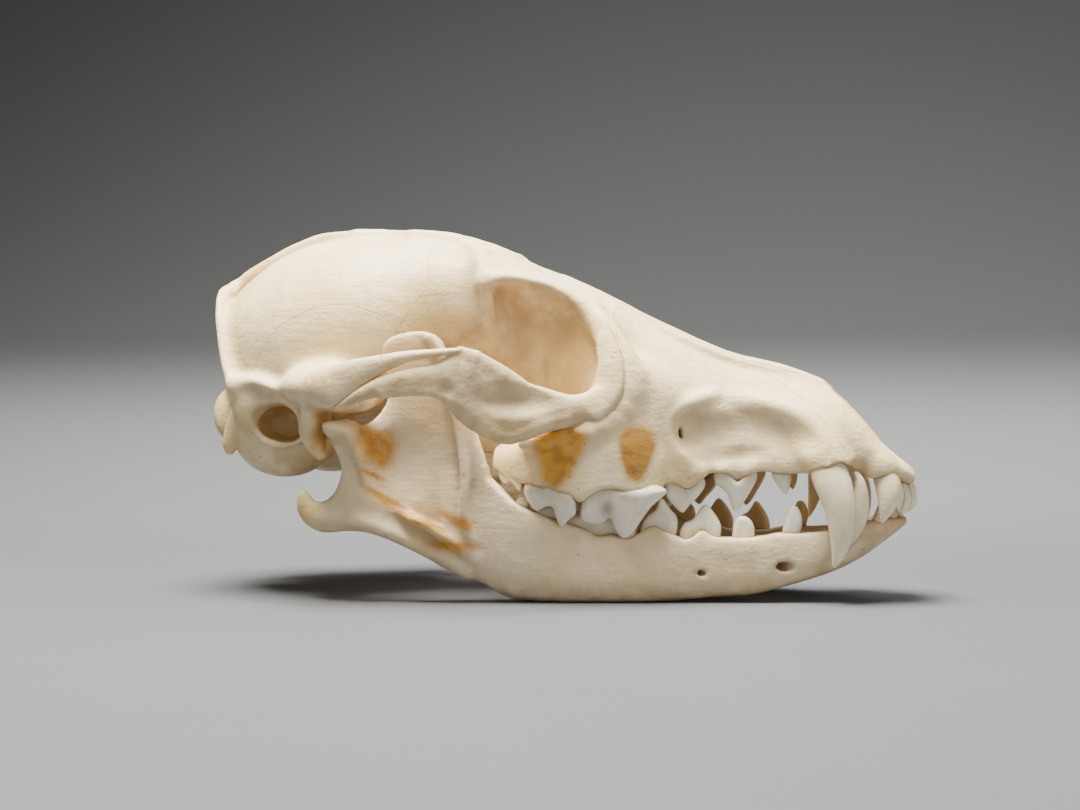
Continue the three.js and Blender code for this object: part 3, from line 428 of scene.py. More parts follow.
def cheek_shape():
    F = Shape()
    F.add(bar([(18.4, 22.2, 42.6, 1.0, 2.8), (14.4, 24.0, 41.2, 1.4, 3.2), (9.0, 26.4, 39.8, 1.7, 3.3), (3.4, 29.2, 39.9, 1.8, 4.8), (-2.4, 32.4, 40.0, 1.8, 7.0), (-7.6, 35.4, 43.0, 1.7, 7.4), (-11.6, 37.7, 46.4, 1.6, 5.9), (-15.6, 39.3, 46.2, 1.5, 3.4),
               (-20.4, 40.6, 46.0, 1.3, 2.6), (-25.6, 41.1, 45.0, 1.2, 2.3), (-30.6, 41.0, 43.4, 1.0, 1.6), (-35, 40.2, 41.4, 0.7, 0.9), (-37.6, 39.6, 40.1, 0.4, 0.4)], 34), 1.0)
    F.add(bar([(12.4, 25.0, 39.4, 1.3, 3.0), (15.6, 23.6, 44.2, 1.2, 3.2), (16.0, 22.4, 49.4, 1.05, 2.8), (14.8, 20.7, 54.0, 0.9, 2.1), (14.2, 18.9, 58.2, 0.5, 1.0)], 14, (1, 0, 0.25)), 1.6)
    F.add(bar([(-4.6, 33.6, 46.6, 1.0, 1.6), (-8.4, 35.9, 49.9, 0.9, 1.4), (-11.6, 37.9, 52.0, 0.6, 0.7)], 8), 1.2)
    F.add(bar([(8, 27.4, 38.4, 1.2, 1.0), (2, 30.6, 36.4, 1.1, 1.0), (-3.6, 33.6, 34.2, 0.9, 1.2), (-8, 35.9, 37.6, 1.0, 1.2), (-12.4, 38.3, 41.4, 1.0, 1.1), (-18, 40.4, 43.5, 0.9, 0.9), (-27, 41.4, 43.0, 0.8, 0.8)], 20), 1.0)
    F.cut(ell((0, 35.2, 42.0), (9, 3.4, 3.4), rot("z", -28)), 1.6)
    return F


# ---------------------------------------------------------------- lower jaw
BODY = loft([
    (-18, 2.2, 27.0, 16, 8.6, 2.6, 2.2, 25.6), (-13, 2.9, 26.6, 14.6, 5.9, 2.8, 2.2, 24.6), (-8, 3.5, 24.6, 12.6, 3.2, 3, 2.3, 23.3), (-3, 4.0, 21.4, 10.6, 0.55, 3.4, 2.4, 22.0), (2, 4.3, 19.0, 9, -0.05, 3.6, 2.5, 20.9), (8, 4.5, 17.2, 8, -0.25, 3.8, 2.5, 19.5),
    (18, 4.6, 15.4, 7.2, -0.25, 4, 2.5, 17.3), (27, 4.3, 16.0, 7, 0.1, 4, 2.4, 15.2), (36, 4.1, 15.8, 7.2, 0.9, 4, 2.4, 13.0), (44, 4.1, 15.0, 7.7, 1.5, 4, 2.4, 11.2), (51, 4.4, 15.4, 8.7, 3.1, 4, 2.4, 9.2), (57, 4.9, 15.8, 10, 4.9, 3.6, 2.4, 7.4),
    (62, 5.2, 16.6, 11.6, 6.8, 3.2, 2.4, 5.9), (67, 4.7, 17.6, 13.6, 9.6, 2.8, 2.3, 5.0), (71, 3.8, 18.0, 15.4, 13.1, 2.4, 2.2, 3.9), (74, 2.6, 17.8, 16.5, 15.2, 2, 2, 2.9), (75.2, 1.4, 17.4, 16.7, 16, 2, 2, 2.5)])
RAMUS = rounded([(-2.0, 14), (-3, 20.8), (-6.4, 23.0), (-9.4, 26.6), (-11.8, 31.2), (-13.3, 36.4), (-14.4, 41.6), (-15.9, 47.2), (-17.3, 51.6), (-18.7, 54.6), (-20.8, 56.0), (-23.6, 56.4), (-26.6, 55.9), (-29.2, 55.0), (-30.8, 53.4), (-30.9, 50.8), (-30.0, 47.6), (-29.6, 44.2), (-30.5, 41.0), (-32.4, 38.4),
                 (-35.0, 36.9), (-38.0, 36.9), (-40.6, 37.2), (-42.2, 35.8), (-42.2, 33.4), (-41.0, 31.0), (-40.1, 28.6), (-40.1, 26.2), (-41.2, 23.2), (-42.8, 21.4), (-44.6, 20.7), (-46.3, 20.9), (-47.5, 22.4), (-48.4, 23.3), (-49.5, 22.4), (-50.0, 20.0), (-49.3, 17.7), (-47.2, 15.5), (-44.6, 14.2), (-41.2, 14.4), (-37.6, 15.0), (-33.6, 14.9), (-30.0, 14.0), (-25.5, 12.0), (-20.6, 9.4), (-15.6, 6.7), (-10, 4.2), (-4, 1.6)], 2)


def ramus_field(P):
    s = outline_distance(P.x, P.z, RAMUS)
    b = np.clip((-4 - P.x) / 40, 0, 1)
    h = np.clip((P.z - 24) / 32, 0, 1)
    yc = 22.2 + 6.6 * np.sin(b * F4(np.pi / 2)) + 1.4 * h * h - 1.0 * b * np.clip((22 - P.z) / 10, 0, 1)
    t = 1.9 - 0.75 * np.clip((P.z - 22) / 30, 0, 1) - 0.55 * np.exp(-(((P.x + 24) / 9) ** 2 + ((P.z - 27) / 9) ** 2))
    t = t * (0.45 + 0.55 * np.sqrt(np.clip(-s / 3.0, 0, 1)))
    dy = (np.abs(P.y - yc) - t).astype(F4)
    return smax(dy, s, 1.1)


def mandible_shape():
    F = Shape()
    F.add(BODY)
    F.add(where((-51, 17, 0), (0, 35, 58), ramus_field), 2.6)
    # front edge of the coronoid process, crest round the muscle's hollow, angular process
    F.add(bar([(-5.0, 23.0, 20.5, 2.3, 2.4), (-9.8, 24.8, 26.0, 2.0, 2.1), (-12.8, 26.6, 34, 1.6, 1.7), (-14.8, 27.9, 42.4, 1.3, 1.4), (-17.2, 29.3, 50, 1.1, 1.2), (-20.4, 30.4, 54.8, 0.9, 1.0)], 18, (1, 0, 0)), 2.2)
    F.add(bar([(-9.6, 24.8, 20.0, 1.4, 1.6), (-11.8, 25.9, 27.0, 1.4, 1.6), (-13.4, 27.0, 35.0, 1.3, 1.4), (-15.0, 28.0, 42.0, 1.1, 1.2)], 14, (1, 0, 0)), 2.0)
    F.add(bar([(-12.4, 27.0, 12.0, 0.9, 1.2), (-13.6, 28.2, 18, 1.0, 1.0), (-13.3, 28.5, 26, 1.0, 1.0), (-14.1, 28.9, 34, 0.9, 0.9), (-15.4, 29.1, 41, 0.7, 1.0)], 14, (1, 0, 0)), 1.3)
    F.add(bar([(-11.5, 26.0, 9.0, 1.4, 1.6), (-18.0, 28.2, 13.8, 1.5, 1.2), (-23, 29.7, 17.0, 1.5, 1.0), (-29, 30.6, 20.4, 1.6, 1.0), (-33.2, 30.9, 25.0, 1.5, 1.0), (-35.4, 30.8, 30.4, 1.4, 1.1), (-37.4, 30.4, 34.4, 1.3, 1.2)], 26), 1.3)
    F.add(bar([(-14, 24.9, 6.6, 1.8, 1.6), (-24, 27.2, 12.0, 1.8, 1.6), (-33, 28.6, 15.8, 1.9, 1.7), (-40.5, 28.6, 17.2, 2.0, 2.1), (-44.6, 28.1, 17.4, 1.9, 1.9), (-47.4, 27.7, 18.5, 1.6, 1.6), (-48.6, 27.4, 21.2, 0.9, 1.0)], 20), 1.6)
    F.add(bar([(-39.2, 22.4, 35.4, 1.2, 1.0), (-39.6, 25, 35.7, 2.4, 2.0), (-39.9, 29, 35.6, 2.6, 2.2), (-40.3, 33.2, 35.9, 2.1, 1.8), (-40.7, 36.0, 36.6, 1.0, 0.9)], 14), 2.0)
    F.add(bar([(-39, 26.5, 34, 2.2, 2.2), (-36.6, 27.6, 30, 2.0, 2.0), (-33, 27.8, 26, 1.4, 1.6)], 8), 2.4)
    for x, y, z in ((17.6, 20.2, 9.5), (8.6, 22.2, 10.0), (28, 18.2, 9.6), (22.8, 19.4, 9.6), (36.2, 16.0, 10.2), (31.2, 17.2, 10.0), (43.2, 14.4, 10.8)):
        F.add(ell((x, y - 1.2, z), (1.9, 1.4, 4.2)), 1.8)
    F.add(bar([(62.6, 8.8, 14.6, 2.2, 2.6), (57.8, 8.6, 11.4, 2.3, 3.0), (52, 9.0, 8.8, 2.2, 2.8)], 9, (0, 0, 1)), 2.4)
    F.add(bar([(54.0, 3.4, 7.6, 1.6, 2.0), (60.0, 2.4, 10.0, 2.3, 3.6), (66.0, 2.2, 12.9, 2.4, 3.3), (71.5, 1.9, 15.6, 1.9, 1.9), (74.0, 1.6, 16.8, 1.2, 1.0)], 14, (0, 0, 1)), 1.8)
    F.cut(ell((-24.6, 33.0, 28.8), (10.4, 5.7, 13.2), rot("y", 32)), 0.9)
    F.cut(ell((-21.4, 34.2, 42.5), (6.5, 4.0, 10), rot("y", 12)), 1.6)
    F.cut(where((-14, -1, 12), (77, 30, 60), lambda P: np.where(P.x > -13, edge_z(LOWER_EDGE, P.x) - P.z, F4(20.0)) + np.clip((-9 - P.x) * F4(4.0), 0, 30)), 0.6)
    F.cut(bar([(52.6, 13.8, 7.4, 1.2, 1.0), (50.0, 12.6, 7.6, 1.1, 0.9), (47.6, 11.6, 7.8, 0.7, 0.6)], 6), 0.5)
    F.cut(bar([(34.6, 17.4, 6.2, 0.8, 0.6), (33, 16.2, 6.4, 0.7, 0.5)], 4), 0.4)
    F.cut(bar([(62.6, 9.8, 9.8, 0.6, 0.5), (61, 9.0, 10.4, 0.6, 0.5)], 4), 0.4)
    F.cut(ell((-21.8, 22.6, 22.0), (3.2, 2.6, 1.7), rot("z", 20)), 0.8)
    F.cut(where((-80, -9, -9), (80, 0.35, 60), lambda P: P.y - F4(0.35)), 0.5)
    F.cut(where((-80, -9, -9), (80, 60, 0.0), lambda P: P.z + 0 * P.x), 0.3)
    return F


# ---------------------------------------------------------------- teeth of one side
def upper_teeth():
    T = Shape()
    for x, y, w, z1, t in ((75.7, 1.75, 1.55, 18.6, 0.05), (74.5, 5.0, 1.75, 18.2, 0.35)):
        T.add(bar([(x - 1.6, y - 0.2, 28, 0.9, 0.8), (x - 0.5, y, 25.4, w * 0.78, 1.0), (x + 0.35, y, 22.8, w, 1.5), (x + 0.4, y, z1 + 2.2, w * 1.02, 1.4), (x + 0.1, y, z1 + 0.7, w * 0.85, 0.75)], 14, (1, t, 0)))
    T.add(bar([(69.6, 7.6, 29.4, 1.4, 1.8), (71.0, 8.8, 26.4, 2.0, 2.5), (71.9, 9.6, 23.4, 2.1, 2.6), (71.6, 9.9, 20.2, 1.5, 1.9), (70.6, 9.7, 17.0, 0.5, 0.5)], 14, (1, 0.55, 0)))
    T.add(bar([(72.9, 8.6, 25.4, 1.1, 1.2), (74.0, 8.7, 22.4, 1.0, 1.0), (73.8, 8.8, 19.4, 0.5, 0.5)], 8, (1, 0.3, 0)), 0.9)
    # canine
    T.add(bar([(56.0, 11.2, 34.0, 1.5, 2.6), (58.4, 12.6, 30.6, 2.0, 3.3), (60.4, 13.9, 26.0, 2.45, 3.8), (62.0, 14.5, 21.0, 2.25, 3.3), (62.5, 14.4, 15.6, 1.75, 2.55), (62.1, 14.0, 11.0, 1.15, 1.6), (61.1, 13.7, 7.9, 0.42, 0.5)], 28, (1, 0, 0)))
    # first to third premolars, each on two roots save the first
    T.add(crown([(48.0, 27.6), (48.5, 25.6), (50.0, 23.4), (51.1, 22.3), (51.9, 24.0), (52.1, 26.4), (51.4, 28.4), (49.2, 28.6)], 11.2, 11.0, 1.15, 0.55, 1.2, (26, 22.4)))
    T.add(crown([(36.1, 25.2), (36.4, 27.6), (38.0, 28.8), (39.5, 27.4), (41.2, 25.1), (42.8, 27.4), (44.2, 28.6), (45.1, 27.0), (44.9, 25.0), (43.1, 21.7), (41.3, 19.0), (40.2, 19.1), (38.9, 22.6), (37.2, 23.9)], 12.2, 11.5, 1.4, 0.5, 1.35, (25.5, 19.0)))
    T.add(crown([(25.4, 23.9), (26.0, 26.4), (27.6, 27.0), (29.2, 25.4), (31.0, 24.0), (32.4, 25.6), (33.8, 26.4), (34.6, 24.4), (33.4, 22.2), (31.4, 20.0), (30.0, 18.4), (28.5, 19.5), (26.6, 21.9)], 15.6, 13.4, 1.6, 0.5, 1.5, (24, 18.5)))
    # fourth premolar, the shearing tooth
    T.add(mix([crown([(9.7, 18.4), (9.9, 21.0), (12.4, 23.6), (15.4, 24.8), (18.4, 24.6), (22.0, 24.0), (25.0, 24.6), (27.3, 23.6), (27.1, 22.4), (24.4, 20.0), (22.2, 16.9), (20.5, 14.4), (18.6, 13.5), (17.2, 15.1), (16.0, 17.6), (14.4, 16.5), (12.2, 16.5), (10.5, 17.0)], 23.3, 20.6, 2.3, 0.5, 2.0, (22.5, 13.5)),
               bar([(24.9, 18.0, 24.4, 1.4, 1.4), (24.6, 17.4, 22.8, 1.5, 1.4), (24.4, 17.0, 21.4, 0.9, 0.9)], 7, (1, 0, 0))], 1.2))
    T.cut(ell((15.9, 25.9, 19.2), (1.7, 1.5, 2.3), rot("y", 24)), 0.9)
    # molars
    T.add(mix([crown([(-1.9, 22.6), (-1.5, 25.0), (1.6, 25.6), (5.2, 24.4), (8.6, 23.2), (9.4, 20.8), (9.3, 18.6), (8.0, 17.5), (6.2, 15.8), (5.0, 17.8), (4.2, 19.9), (2.4, 19.7), (0.9, 18.9), (-0.6, 20.3)], 23.4, 24.9, 2.0, 0.55, 1.7, (23.4, 16.2)),
               ell((3.8, 21.0, 24.2), (4.4, 3.6, 2.0)), ell((3.0, 17.6, 24.6), (3.4, 3.8, 2.0)), ell((4.4, 19.4, 22.7), (1.3, 1.4, 1.3)), ell((2.2, 15.9, 23.7), (1.5, 1.6, 1.2))], 1.0))
    T.add(mix([crown([(-8.2, 26.6), (-7.6, 29.0), (-4.8, 28.4), (-2.4, 26.8), (-2.0, 24.2), (-3.2, 22.9), (-4.4, 24.0), (-5.4, 25.0), (-6.6, 24.3), (-7.6, 25.2)], 20.4, 22.4, 1.5, 0.6, 1.2, (26, 23)),
               ell((-4.8, 18.6, 26.8), (2.7, 3.2, 1.8)), ell((-4.9, 16.8, 26.2), (1.4, 1.5, 1.4))], 0.9))
    return T


def milk_tooth():
    T = Shape()
    T.add(bar([(56.4, 12.6, 30, 1.3, 1.7), (55.9, 13.0, 25.5, 1.3, 1.7), (55.6, 13.2, 21.0, 1.0, 1.4), (54.8, 13.2, 17.8, 0.6, 0.8), (54.4, 13.1, 16.4, 0.3, 0.35)], 12, (1, 0, 0)))
    return T


def lower_teeth():
    T = Shape()
    for x, y, z, w in ((74.2, 1.6, 21.0, 1.15), (73.2, 4.1, 21.3, 1.3), (71.0, 6.6, 21.9, 1.6)):
        T.add(bar([(x - 2.4, y - 0.2, 14.5, 1.0, 1.1), (x - 0.9, y, 17.6, w, 1.3), (x, y, z - 1.3, w, 1.0), (x + 0.1, y, z, w * 0.7, 0.4)], 9, (1, 0.2, 0)))
    T.add(bar([(58.6, 9.0, 9.5, 2.0, 2.8), (62.2, 9.9, 13.4, 2.2, 3.0), (64.9, 10.6, 17.8, 2.1, 2.75), (66.0, 11.3, 21.8, 1.6, 2.0), (66.2, 11.9, 25.0, 0.95, 1.1), (66.0, 12.2, 26.6, 0.36, 0.4)], 22, (1, 0, 0)))
    T.add(crown([(50.4, 12.6), (50.3, 14.8), (51.3, 18.2), (52.3, 20.1), (53.7, 19.5), (54.5, 17.0), (54.0, 14.4), (53.8, 12.4), (52.0, 11.6)], 10.9, 10.7, 1.2, 0.6, 1.2, (15, 20)))
    T.add(crown([(29.0, 14.8), (29.3, 12.0), (31.2, 11.6), (32.3, 13.2), (34.2, 14.4), (35.4, 12.2), (37.0, 11.8), (37.8, 14.2), (37.6, 16.4), (35.8, 19.2), (34.2, 20.2), (32.0, 17.2), (30.2, 16.4)], 14.0, 12.6, 1.35, 0.5, 1.3, (15, 20)))
    T.add(crown([(20.9, 14.6), (21.4, 12.4), (23.0, 12.4), (24.2, 15.0), (25.8, 12.6), (28.0, 12.2), (28.9, 14.6), (28.9, 17.4), (27.4, 19.4), (25.6, 21.6), (24.4, 19.0), (22.6, 17.6)], 16.8, 15.0, 1.5, 0.5, 1.4, (16, 21)))
    # first molar, the lower shearing tooth, then the second and third
    T.add(mix([crown([(5.4, 15.4), (5.6, 12.0), (8.0, 11.0), (11.0, 12.6), (13.6, 12.6), (16.0, 13.0), (18.4, 11.0), (20.4, 12.0), (20.8, 15.0), (20.0, 17.6), (18.2, 19.8), (16.6, 18.0), (15.2, 19.4), (13.2, 22.6), (11.9, 19.4), (10.0, 18.4), (7.4, 18.6), (5.8, 17.4)], 19.4, 18.0, 1.95, 0.5, 1.8, (16, 21)),
               ell((8.4, 19.4, 16.9), (2.9, 2.2, 1.7)), ell((12.6, 17.4, 18.4), (0.9, 0.8, 1.4))], 0.9))
    T.add(mix([ell((2.2, 20.7, 17.9), (2.9, 2.1, 1.9)), ell((3.2, 21.3, 19.0), (1.1, 0.9, 1.1)), ell((1.2, 20.2, 18.9), (1.0, 0.9, 0.9)), bar([(2.2, 20.8, 14, 1.4, 1.9), (2.2, 20.8, 18, 1.4, 2.0)], 3, (1, 0, 0))], 0.8))
    T.add(mix([ell((-2.6, 21.8, 20.6), (1.5, 1.4, 1.3)), bar([(-2.6, 21.9, 16.5, 1.0, 1.1), (-2.6, 21.8, 20.4, 1.0, 1.2)], 3, (1, 0, 0))], 0.7))
    return T


def lower_premolar(worn):
    T = Shape()
    if worn:
        T.add(crown([(40.2, 12.4), (40.3, 15.0), (40.9, 17.3), (42.6, 17.9), (44.2, 16.7), (44.7, 14.6), (44.4, 12.2), (42.4, 11.6)], 12.3, 12.0, 1.25, 0.85, 1.2, (14, 18)))
    else:
        T.add(crown([(38.9, 14.4), (39.2, 12.2), (40.8, 12.0), (42.0, 14.4), (43.4, 12.2), (45.4, 12.0), (46.0, 14.2), (45.6, 16.2), (44.2, 18.6), (42.8, 19.8), (41.2, 17.4), (39.6, 16.4)], 12.4, 11.8, 1.25, 0.5, 1.2, (15, 19.5)))
    return T


# ---------------------------------------------------------------- meshing
POOL = ThreadPoolExecutor(4)


def grid(shape, lo, hi, h, B=16):
    """Samples a field over a box at step h, closely only near its surface."""
    lo = np.array(lo, float)
    n = np.ceil((np.array(hi, float) - lo) / h / B).astype(int)
    G = np.full(tuple(n * B + 1), F4(9), F4)
    at = [(i, j, k) for i in range(n[0]) for j in range(n[1]) for k in range(n[2])]

    def sample(b, c):
        o = lo + np.array(b) * h * B
        P = Pts((o[0] + c)[:, None, None], (o[1] + c)[None, :, None], (o[2] + c)[None, None, :])
        d = shape(P)
        return None if d is None else np.broadcast_to(d, (len(c),) * 3)

    coarse = (np.arange(4) + 0.5) * h * B / 4
    fine = np.arange(B + 1) * h

    def work(b):
        d = sample(b, coarse)
        if d is None:
            return b, 1
        if np.abs(d).min() < h * B / 4 * 0.9 + 1.2:
            v = sample(b, fine)
            return b, (1 if v is None else np.clip(v, -9, 9))
        return b, (1 if d.flat[0] > 0 else -1)

    done = list(POOL.map(work, at))
    for b, v in done:
        a = [q * B for q in b]
        if isinstance(v, int) and v < 0:
            G[a[0]:a[0] + B + 1, a[1]:a[1] + B + 1, a[2]:a[2] + B + 1] = F4(-9)
    for b, v in done:
        if not isinstance(v, int):
            a = [q * B for q in b]
            G[a[0]:a[0] + B + 1, a[1]:a[1] + B + 1, a[2]:a[2] + B + 1] = v
    return G, lo


def surface(G, lo, h):
    """Quads round the zero level of a sampled field, one vertex in each cell that it crosses."""
    N = G.shape
    C = tuple(q - 1 for q in N)
    E = []
    for ax in range(3):
        s0, s1 = [slice(None)] * 3, [slice(None)] * 3
        s0[ax], s1[ax] = slice(0, -1), slice(1, None)
        A, Bv = G[tuple(s0)], G[tuple(s1)]
        idx = np.nonzero((A < 0) != (Bv < 0))
        a, b = A[idx], Bv[idx]
        E.append((idx, a / (a - b), a < 0))
    parts = []
    for ax, (idx, t, _) in enumerate(E):
        o = [q for q in range(3) if q != ax]
        p = [i.astype(F4) for i in idx]
        p[ax] = p[ax] + t
        p = np.stack(p, 1)
        for da in (0, -1):
            for db in (0, -1):
                c = [i.copy() for i in idx]
                c[o[0]] += da
                c[o[1]] += db
                ok = (c[o[0]] >= 0) & (c[o[1]] >= 0) & (c[o[0]] < C[o[0]]) & (c[o[1]] < C[o[1]])
                parts.append((np.ravel_multi_index([q[ok] for q in c], C), p[ok]))
    lin = np.concatenate([q[0] for q in parts])
    pos = np.concatenate([q[1] for q in parts])
    cells, inv = np.unique(lin, return_inverse=True)
    ct = np.bincount(inv)
    V = np.stack([np.bincount(inv, pos[:, k]) / ct for k in range(3)], 1) * h + lo
    look = np.full(int(np.prod(C)), -1, np.int32)
    look[cells] = np.arange(len(cells))
    F = []
    for ax, (idx, _, neg) in enumerate(E):
        o = [(ax + 1) % 3, (ax + 2) % 3]
        ok = (idx[o[0]] > 0) & (idx[o[1]] > 0) & (idx[o[0]] < C[o[0]]) & (idx[o[1]] < C[o[1]])
        c = [q[ok] for q in idx]

        def cell(da, db):
            k = [q.copy() for q in c]
            k[o[0]] += da
            k[o[1]] += db
            return look[np.ravel_multi_index(k, C)]

        q = np.stack([cell(-1, -1), cell(0, -1), cell(0, 0), cell(-1, 0)], 1)
        flip = ~neg[ok]
        q[flip] = q[flip][:, ::-1]
        F.append(q)
    return V, np.concatenate(F)


def no_crumbs(V, F, least=600):
    """Drops loose bits that a field may leave."""
    lab = np.arange(len(V))
    while True:
        m = lab[F].min(1)
        new = lab.copy()
        for k in range(4):
            np.minimum.at(new, F[:, k], m)
        new = new[new]
        if (new == lab).all():
            break
        lab = new
    u, c = np.unique(lab, return_counts=True)
    F = F[np.isin(lab, u[c >= least])[F[:, 0]]]
    used = np.unique(F)
    m = np.full(len(V), -1)
    m[used] = np.arange(len(used))
    return V[used], m[F]


def relax(V, F, times):
    """Evens the mesh out without shrinking it."""
    e = np.concatenate([F[:, [0, 1]], F[:, [1, 2]], F[:, [2, 3]], F[:, [3, 0]]])
    n = len(V)
    deg = np.maximum(np.bincount(e[:, 0], minlength=n) + np.bincount(e[:, 1], minlength=n), 1)
    for _ in range(times):
        for w in (0.5, -0.52):
            S = np.stack([np.bincount(e[:, 0], V[e[:, 1], k], minlength=n) + np.bincount(e[:, 1], V[e[:, 0], k], minlength=n) for k in range(3)], 1)
            V = V + w * (S / deg[:, None] - V)
    return V


def normals(V, F):
    n = np.cross(V[F[:, 2]] - V[F[:, 0]], V[F[:, 3]] - V[F[:, 1]])
    out = np.stack([sum(np.bincount(F[:, c], n[:, k], minlength=len(V)) for c in range(4)) for k in range(3)], 1)
    return out / np.maximum(np.linalg.norm(out, axis=1), 1e-9)[:, None]


def sample_grid(G, lo, h, p):
    """The sampled field at any points."""
    q = (p - lo) / h
    i = np.clip(np.floor(q).astype(int), 0, np.array(G.shape) - 2)
    f = np.clip(q - i, 0, 1)
    out = 0
    for a in (0, 1):
        for b in (0, 1):
            for c in (0, 1):
                w = (f[:, 0] if a else 1 - f[:, 0]) * (f[:, 1] if b else 1 - f[:, 1]) * (f[:, 2] if c else 1 - f[:, 2])
                out = out + w * G[i[:, 0] + a, i[:, 1] + b, i[:, 2] + c]
    return out


def at_points(shape, V, chunk=4096):
    """A field's value at each vertex. Vertices are sorted along x, so that far parts are skipped."""
    order = np.argsort(V[:, 0])
    out = np.full(len(V), 9.0)

    def work(i):
        q = V[order[i:i + chunk]]
        d = shape(Pts(q[:, 0], q[:, 1], q[:, 2]))
        return i, d

    for i, d in POOL.map(work, range(0, len(V), chunk)):
        if d is not None:
            out[order[i:i + chunk]] = np.clip(d, -9, 9)
    return out


# ---------------------------------------------------------------- noise, marks and relief
def lattice(seed):
    return np.random.RandomState(seed).rand(24, 24, 24) * 2 - 1


LATTICE = {k: lattice(k) for k in range(6)}


def noise(p, size, seed=0, stretch=(1, 1, 1)):
    """Smooth noise from -1 to 1 whose bumps are about size across."""
    q = p / (size * np.array(stretch)) + 100.3 * (seed + 1)
    i = np.floor(q).astype(int)
    f = q - i
    f = f * f * (3 - 2 * f)
    L = LATTICE[seed % 6]
    out = 0
    for a in (0, 1):
        for b in (0, 1):
            for c in (0, 1):
                w = (f[:, 0] if a else 1 - f[:, 0]) * (f[:, 1] if b else 1 - f[:, 1]) * (f[:, 2] if c else 1 - f[:, 2])
                out = out + w * L[(i[:, 0] + a) % 24, (i[:, 1] + b) % 24, (i[:, 2] + c) % 24]
    return out


def step(a, b, x):
    t = np.clip((x - a) / (b - a), 0, 1)
    return t * t * (3 - 2 * t)


def blob(V, c, r):
    return np.exp(-(((V[:, 0] - c[0]) / r[0]) ** 2 + ((np.abs(V[:, 1]) - c[1]) / r[1]) ** 2 + ((V[:, 2] - c[2]) / r[2]) ** 2))


def patch(V, pts, soft):
    """1 inside an outline seen from the side, fading over soft millimetres."""
    s = outline_distance(V[:, 0].astype(F4), V[:, 2].astype(F4), rounded(pts, 3))
    return step(soft, -soft, s + 0.35 * noise(V, 1.8, 3))


def line_distance(V, pts, n=40):
    """Signed distance to an open line seen from the side."""
    c = catmull(np.c_[np.array(pts, float), np.zeros(len(pts))], n)[:, :2]
    best, sign = np.full(len(V), 1e9), np.ones(len(V))
    for a, b in zip(c[:-1], c[1:]):
        e = b - a
        px, pz = V[:, 0] - a[0], V[:, 2] - a[1]
        t = np.clip((px * e[0] + pz * e[1]) / (e @ e), 0, 1)
        q = (px - t * e[0]) ** 2 + (pz - t * e[1]) ** 2
        m = q < best
        best[m] = q[m]
        sign[m] = np.sign(px * e[1] - pz * e[0])[m]
    return np.sqrt(best) * sign


def seams(V, N, cheek_d):
    """Sutures of the cranium: the signed distance to the nearest one and how strongly it shows there."""
    x, y, z = V.T
    ay = np.abs(y)
    side = step(0.05, 0.45, np.abs(N[:, 1]))
    top = step(0.15, 0.5, N[:, 2])
    wig = 0.22 * noise(V, 1.9, 1) + 0.10 * noise(V, 0.9, 2)
    rows = []
    rows.append((cheek_d - 0.15, 0.5 * step(-42, -38, x) * step(26, 24, x)))
    nasal = np.interp(x, [0, 2, 12, 24, 38, 50, 61], [0.6, 2.6, 4.0, 4.9, 5.3, 5.5, 5.2])
    rows.append((ay - nasal, 0.75 * top * step(0, 4, x) * step(62, 60, x)))
    rows.append((y, 0.6 * top * step(-14, -6, x) * step(62, 60, x)))
    rows.append((line_distance(V, [(44, 49.0), (50, 45.6), (55.5, 41.2), (60, 36.4), (64.6, 29.6)]), 0.34 * side * step(43, 46, x)))
    rows.append((line_distance(V, [(15.4, 62.6), (14.8, 60.4), (16.4, 57.4), (17.6, 54.6)]), 0.5 * side))
    rows.append((line_distance(V, [(15.6, 61.8), (19.6, 60.4), (23.5, 57.9)]), 0.4 * side))
    rows.append((line_distance(V, [(-27, 50), (-30.6, 57), (-37, 61.4), (-46, 61.8), (-54, 58.2), (-60, 51.4), (-62, 47)]), 0.45 * side * step(16, 19, ay)))
    rows.append((line_distance(V, [(-22, 79.5), (-25.4, 74), (-24, 67), (-27.5, 61.5), (-30, 57)]), 0.3 * step(2, 5, ay)))
    rows.append((line_distance(V, [(-71.6, 69), (-68.2, 64.5), (-66.6, 58), (-64.4, 51), (-62.5, 47)]), 0.35 * side * step(12, 15, ay)))
    d, m = np.full(len(V), 9.0), np.zeros(len(V))
    for q, w in rows:
        q = q + wig
        near = np.abs(q) < np.abs(d)
        use = near & (w > 0.02)
        d[use], m[use] = q[use], w[use]
    return np.clip(d, -2, 2), m * step(1.8, 1.2, np.abs(d))


def body(name, shape, box, h, mirror=False, relax_times=2):
    G, lo = grid(shape, box[0], box[1], h)
    if mirror:
        G = np.concatenate([G[:, :0:-1, :], G], 1)
        lo = lo * np.array([1, 0, 1]) - np.array([0, (G.shape[1] - 1) / 2 * h, 0])
    V, F = surface(G, lo, h)
    V, F = no_crumbs(V, F, 600 if h > 0.4 else 300)
    V = relax(V, F, relax_times)
    N = normals(V, F)
    cav = 1 - 0.5 * np.minimum(sample_grid(G, lo, h, V + N * 2.6) / 2.6, 1) - 0.5 * np.minimum(sample_grid(G, lo, h, V + N * 1.1) / 1.1, 1)
    thin = 1 + np.maximum(sample_grid(G, lo, h, V - N * 1.2) / 1.2, -1)
    return V, F, N, {"cav": np.clip(cav, 0, 1.6), "thin": np.clip(thin, 0, 1.6)}


def other_side(V, F):
    return V * np.array([1, -1, 1]), F[:, ::-1]


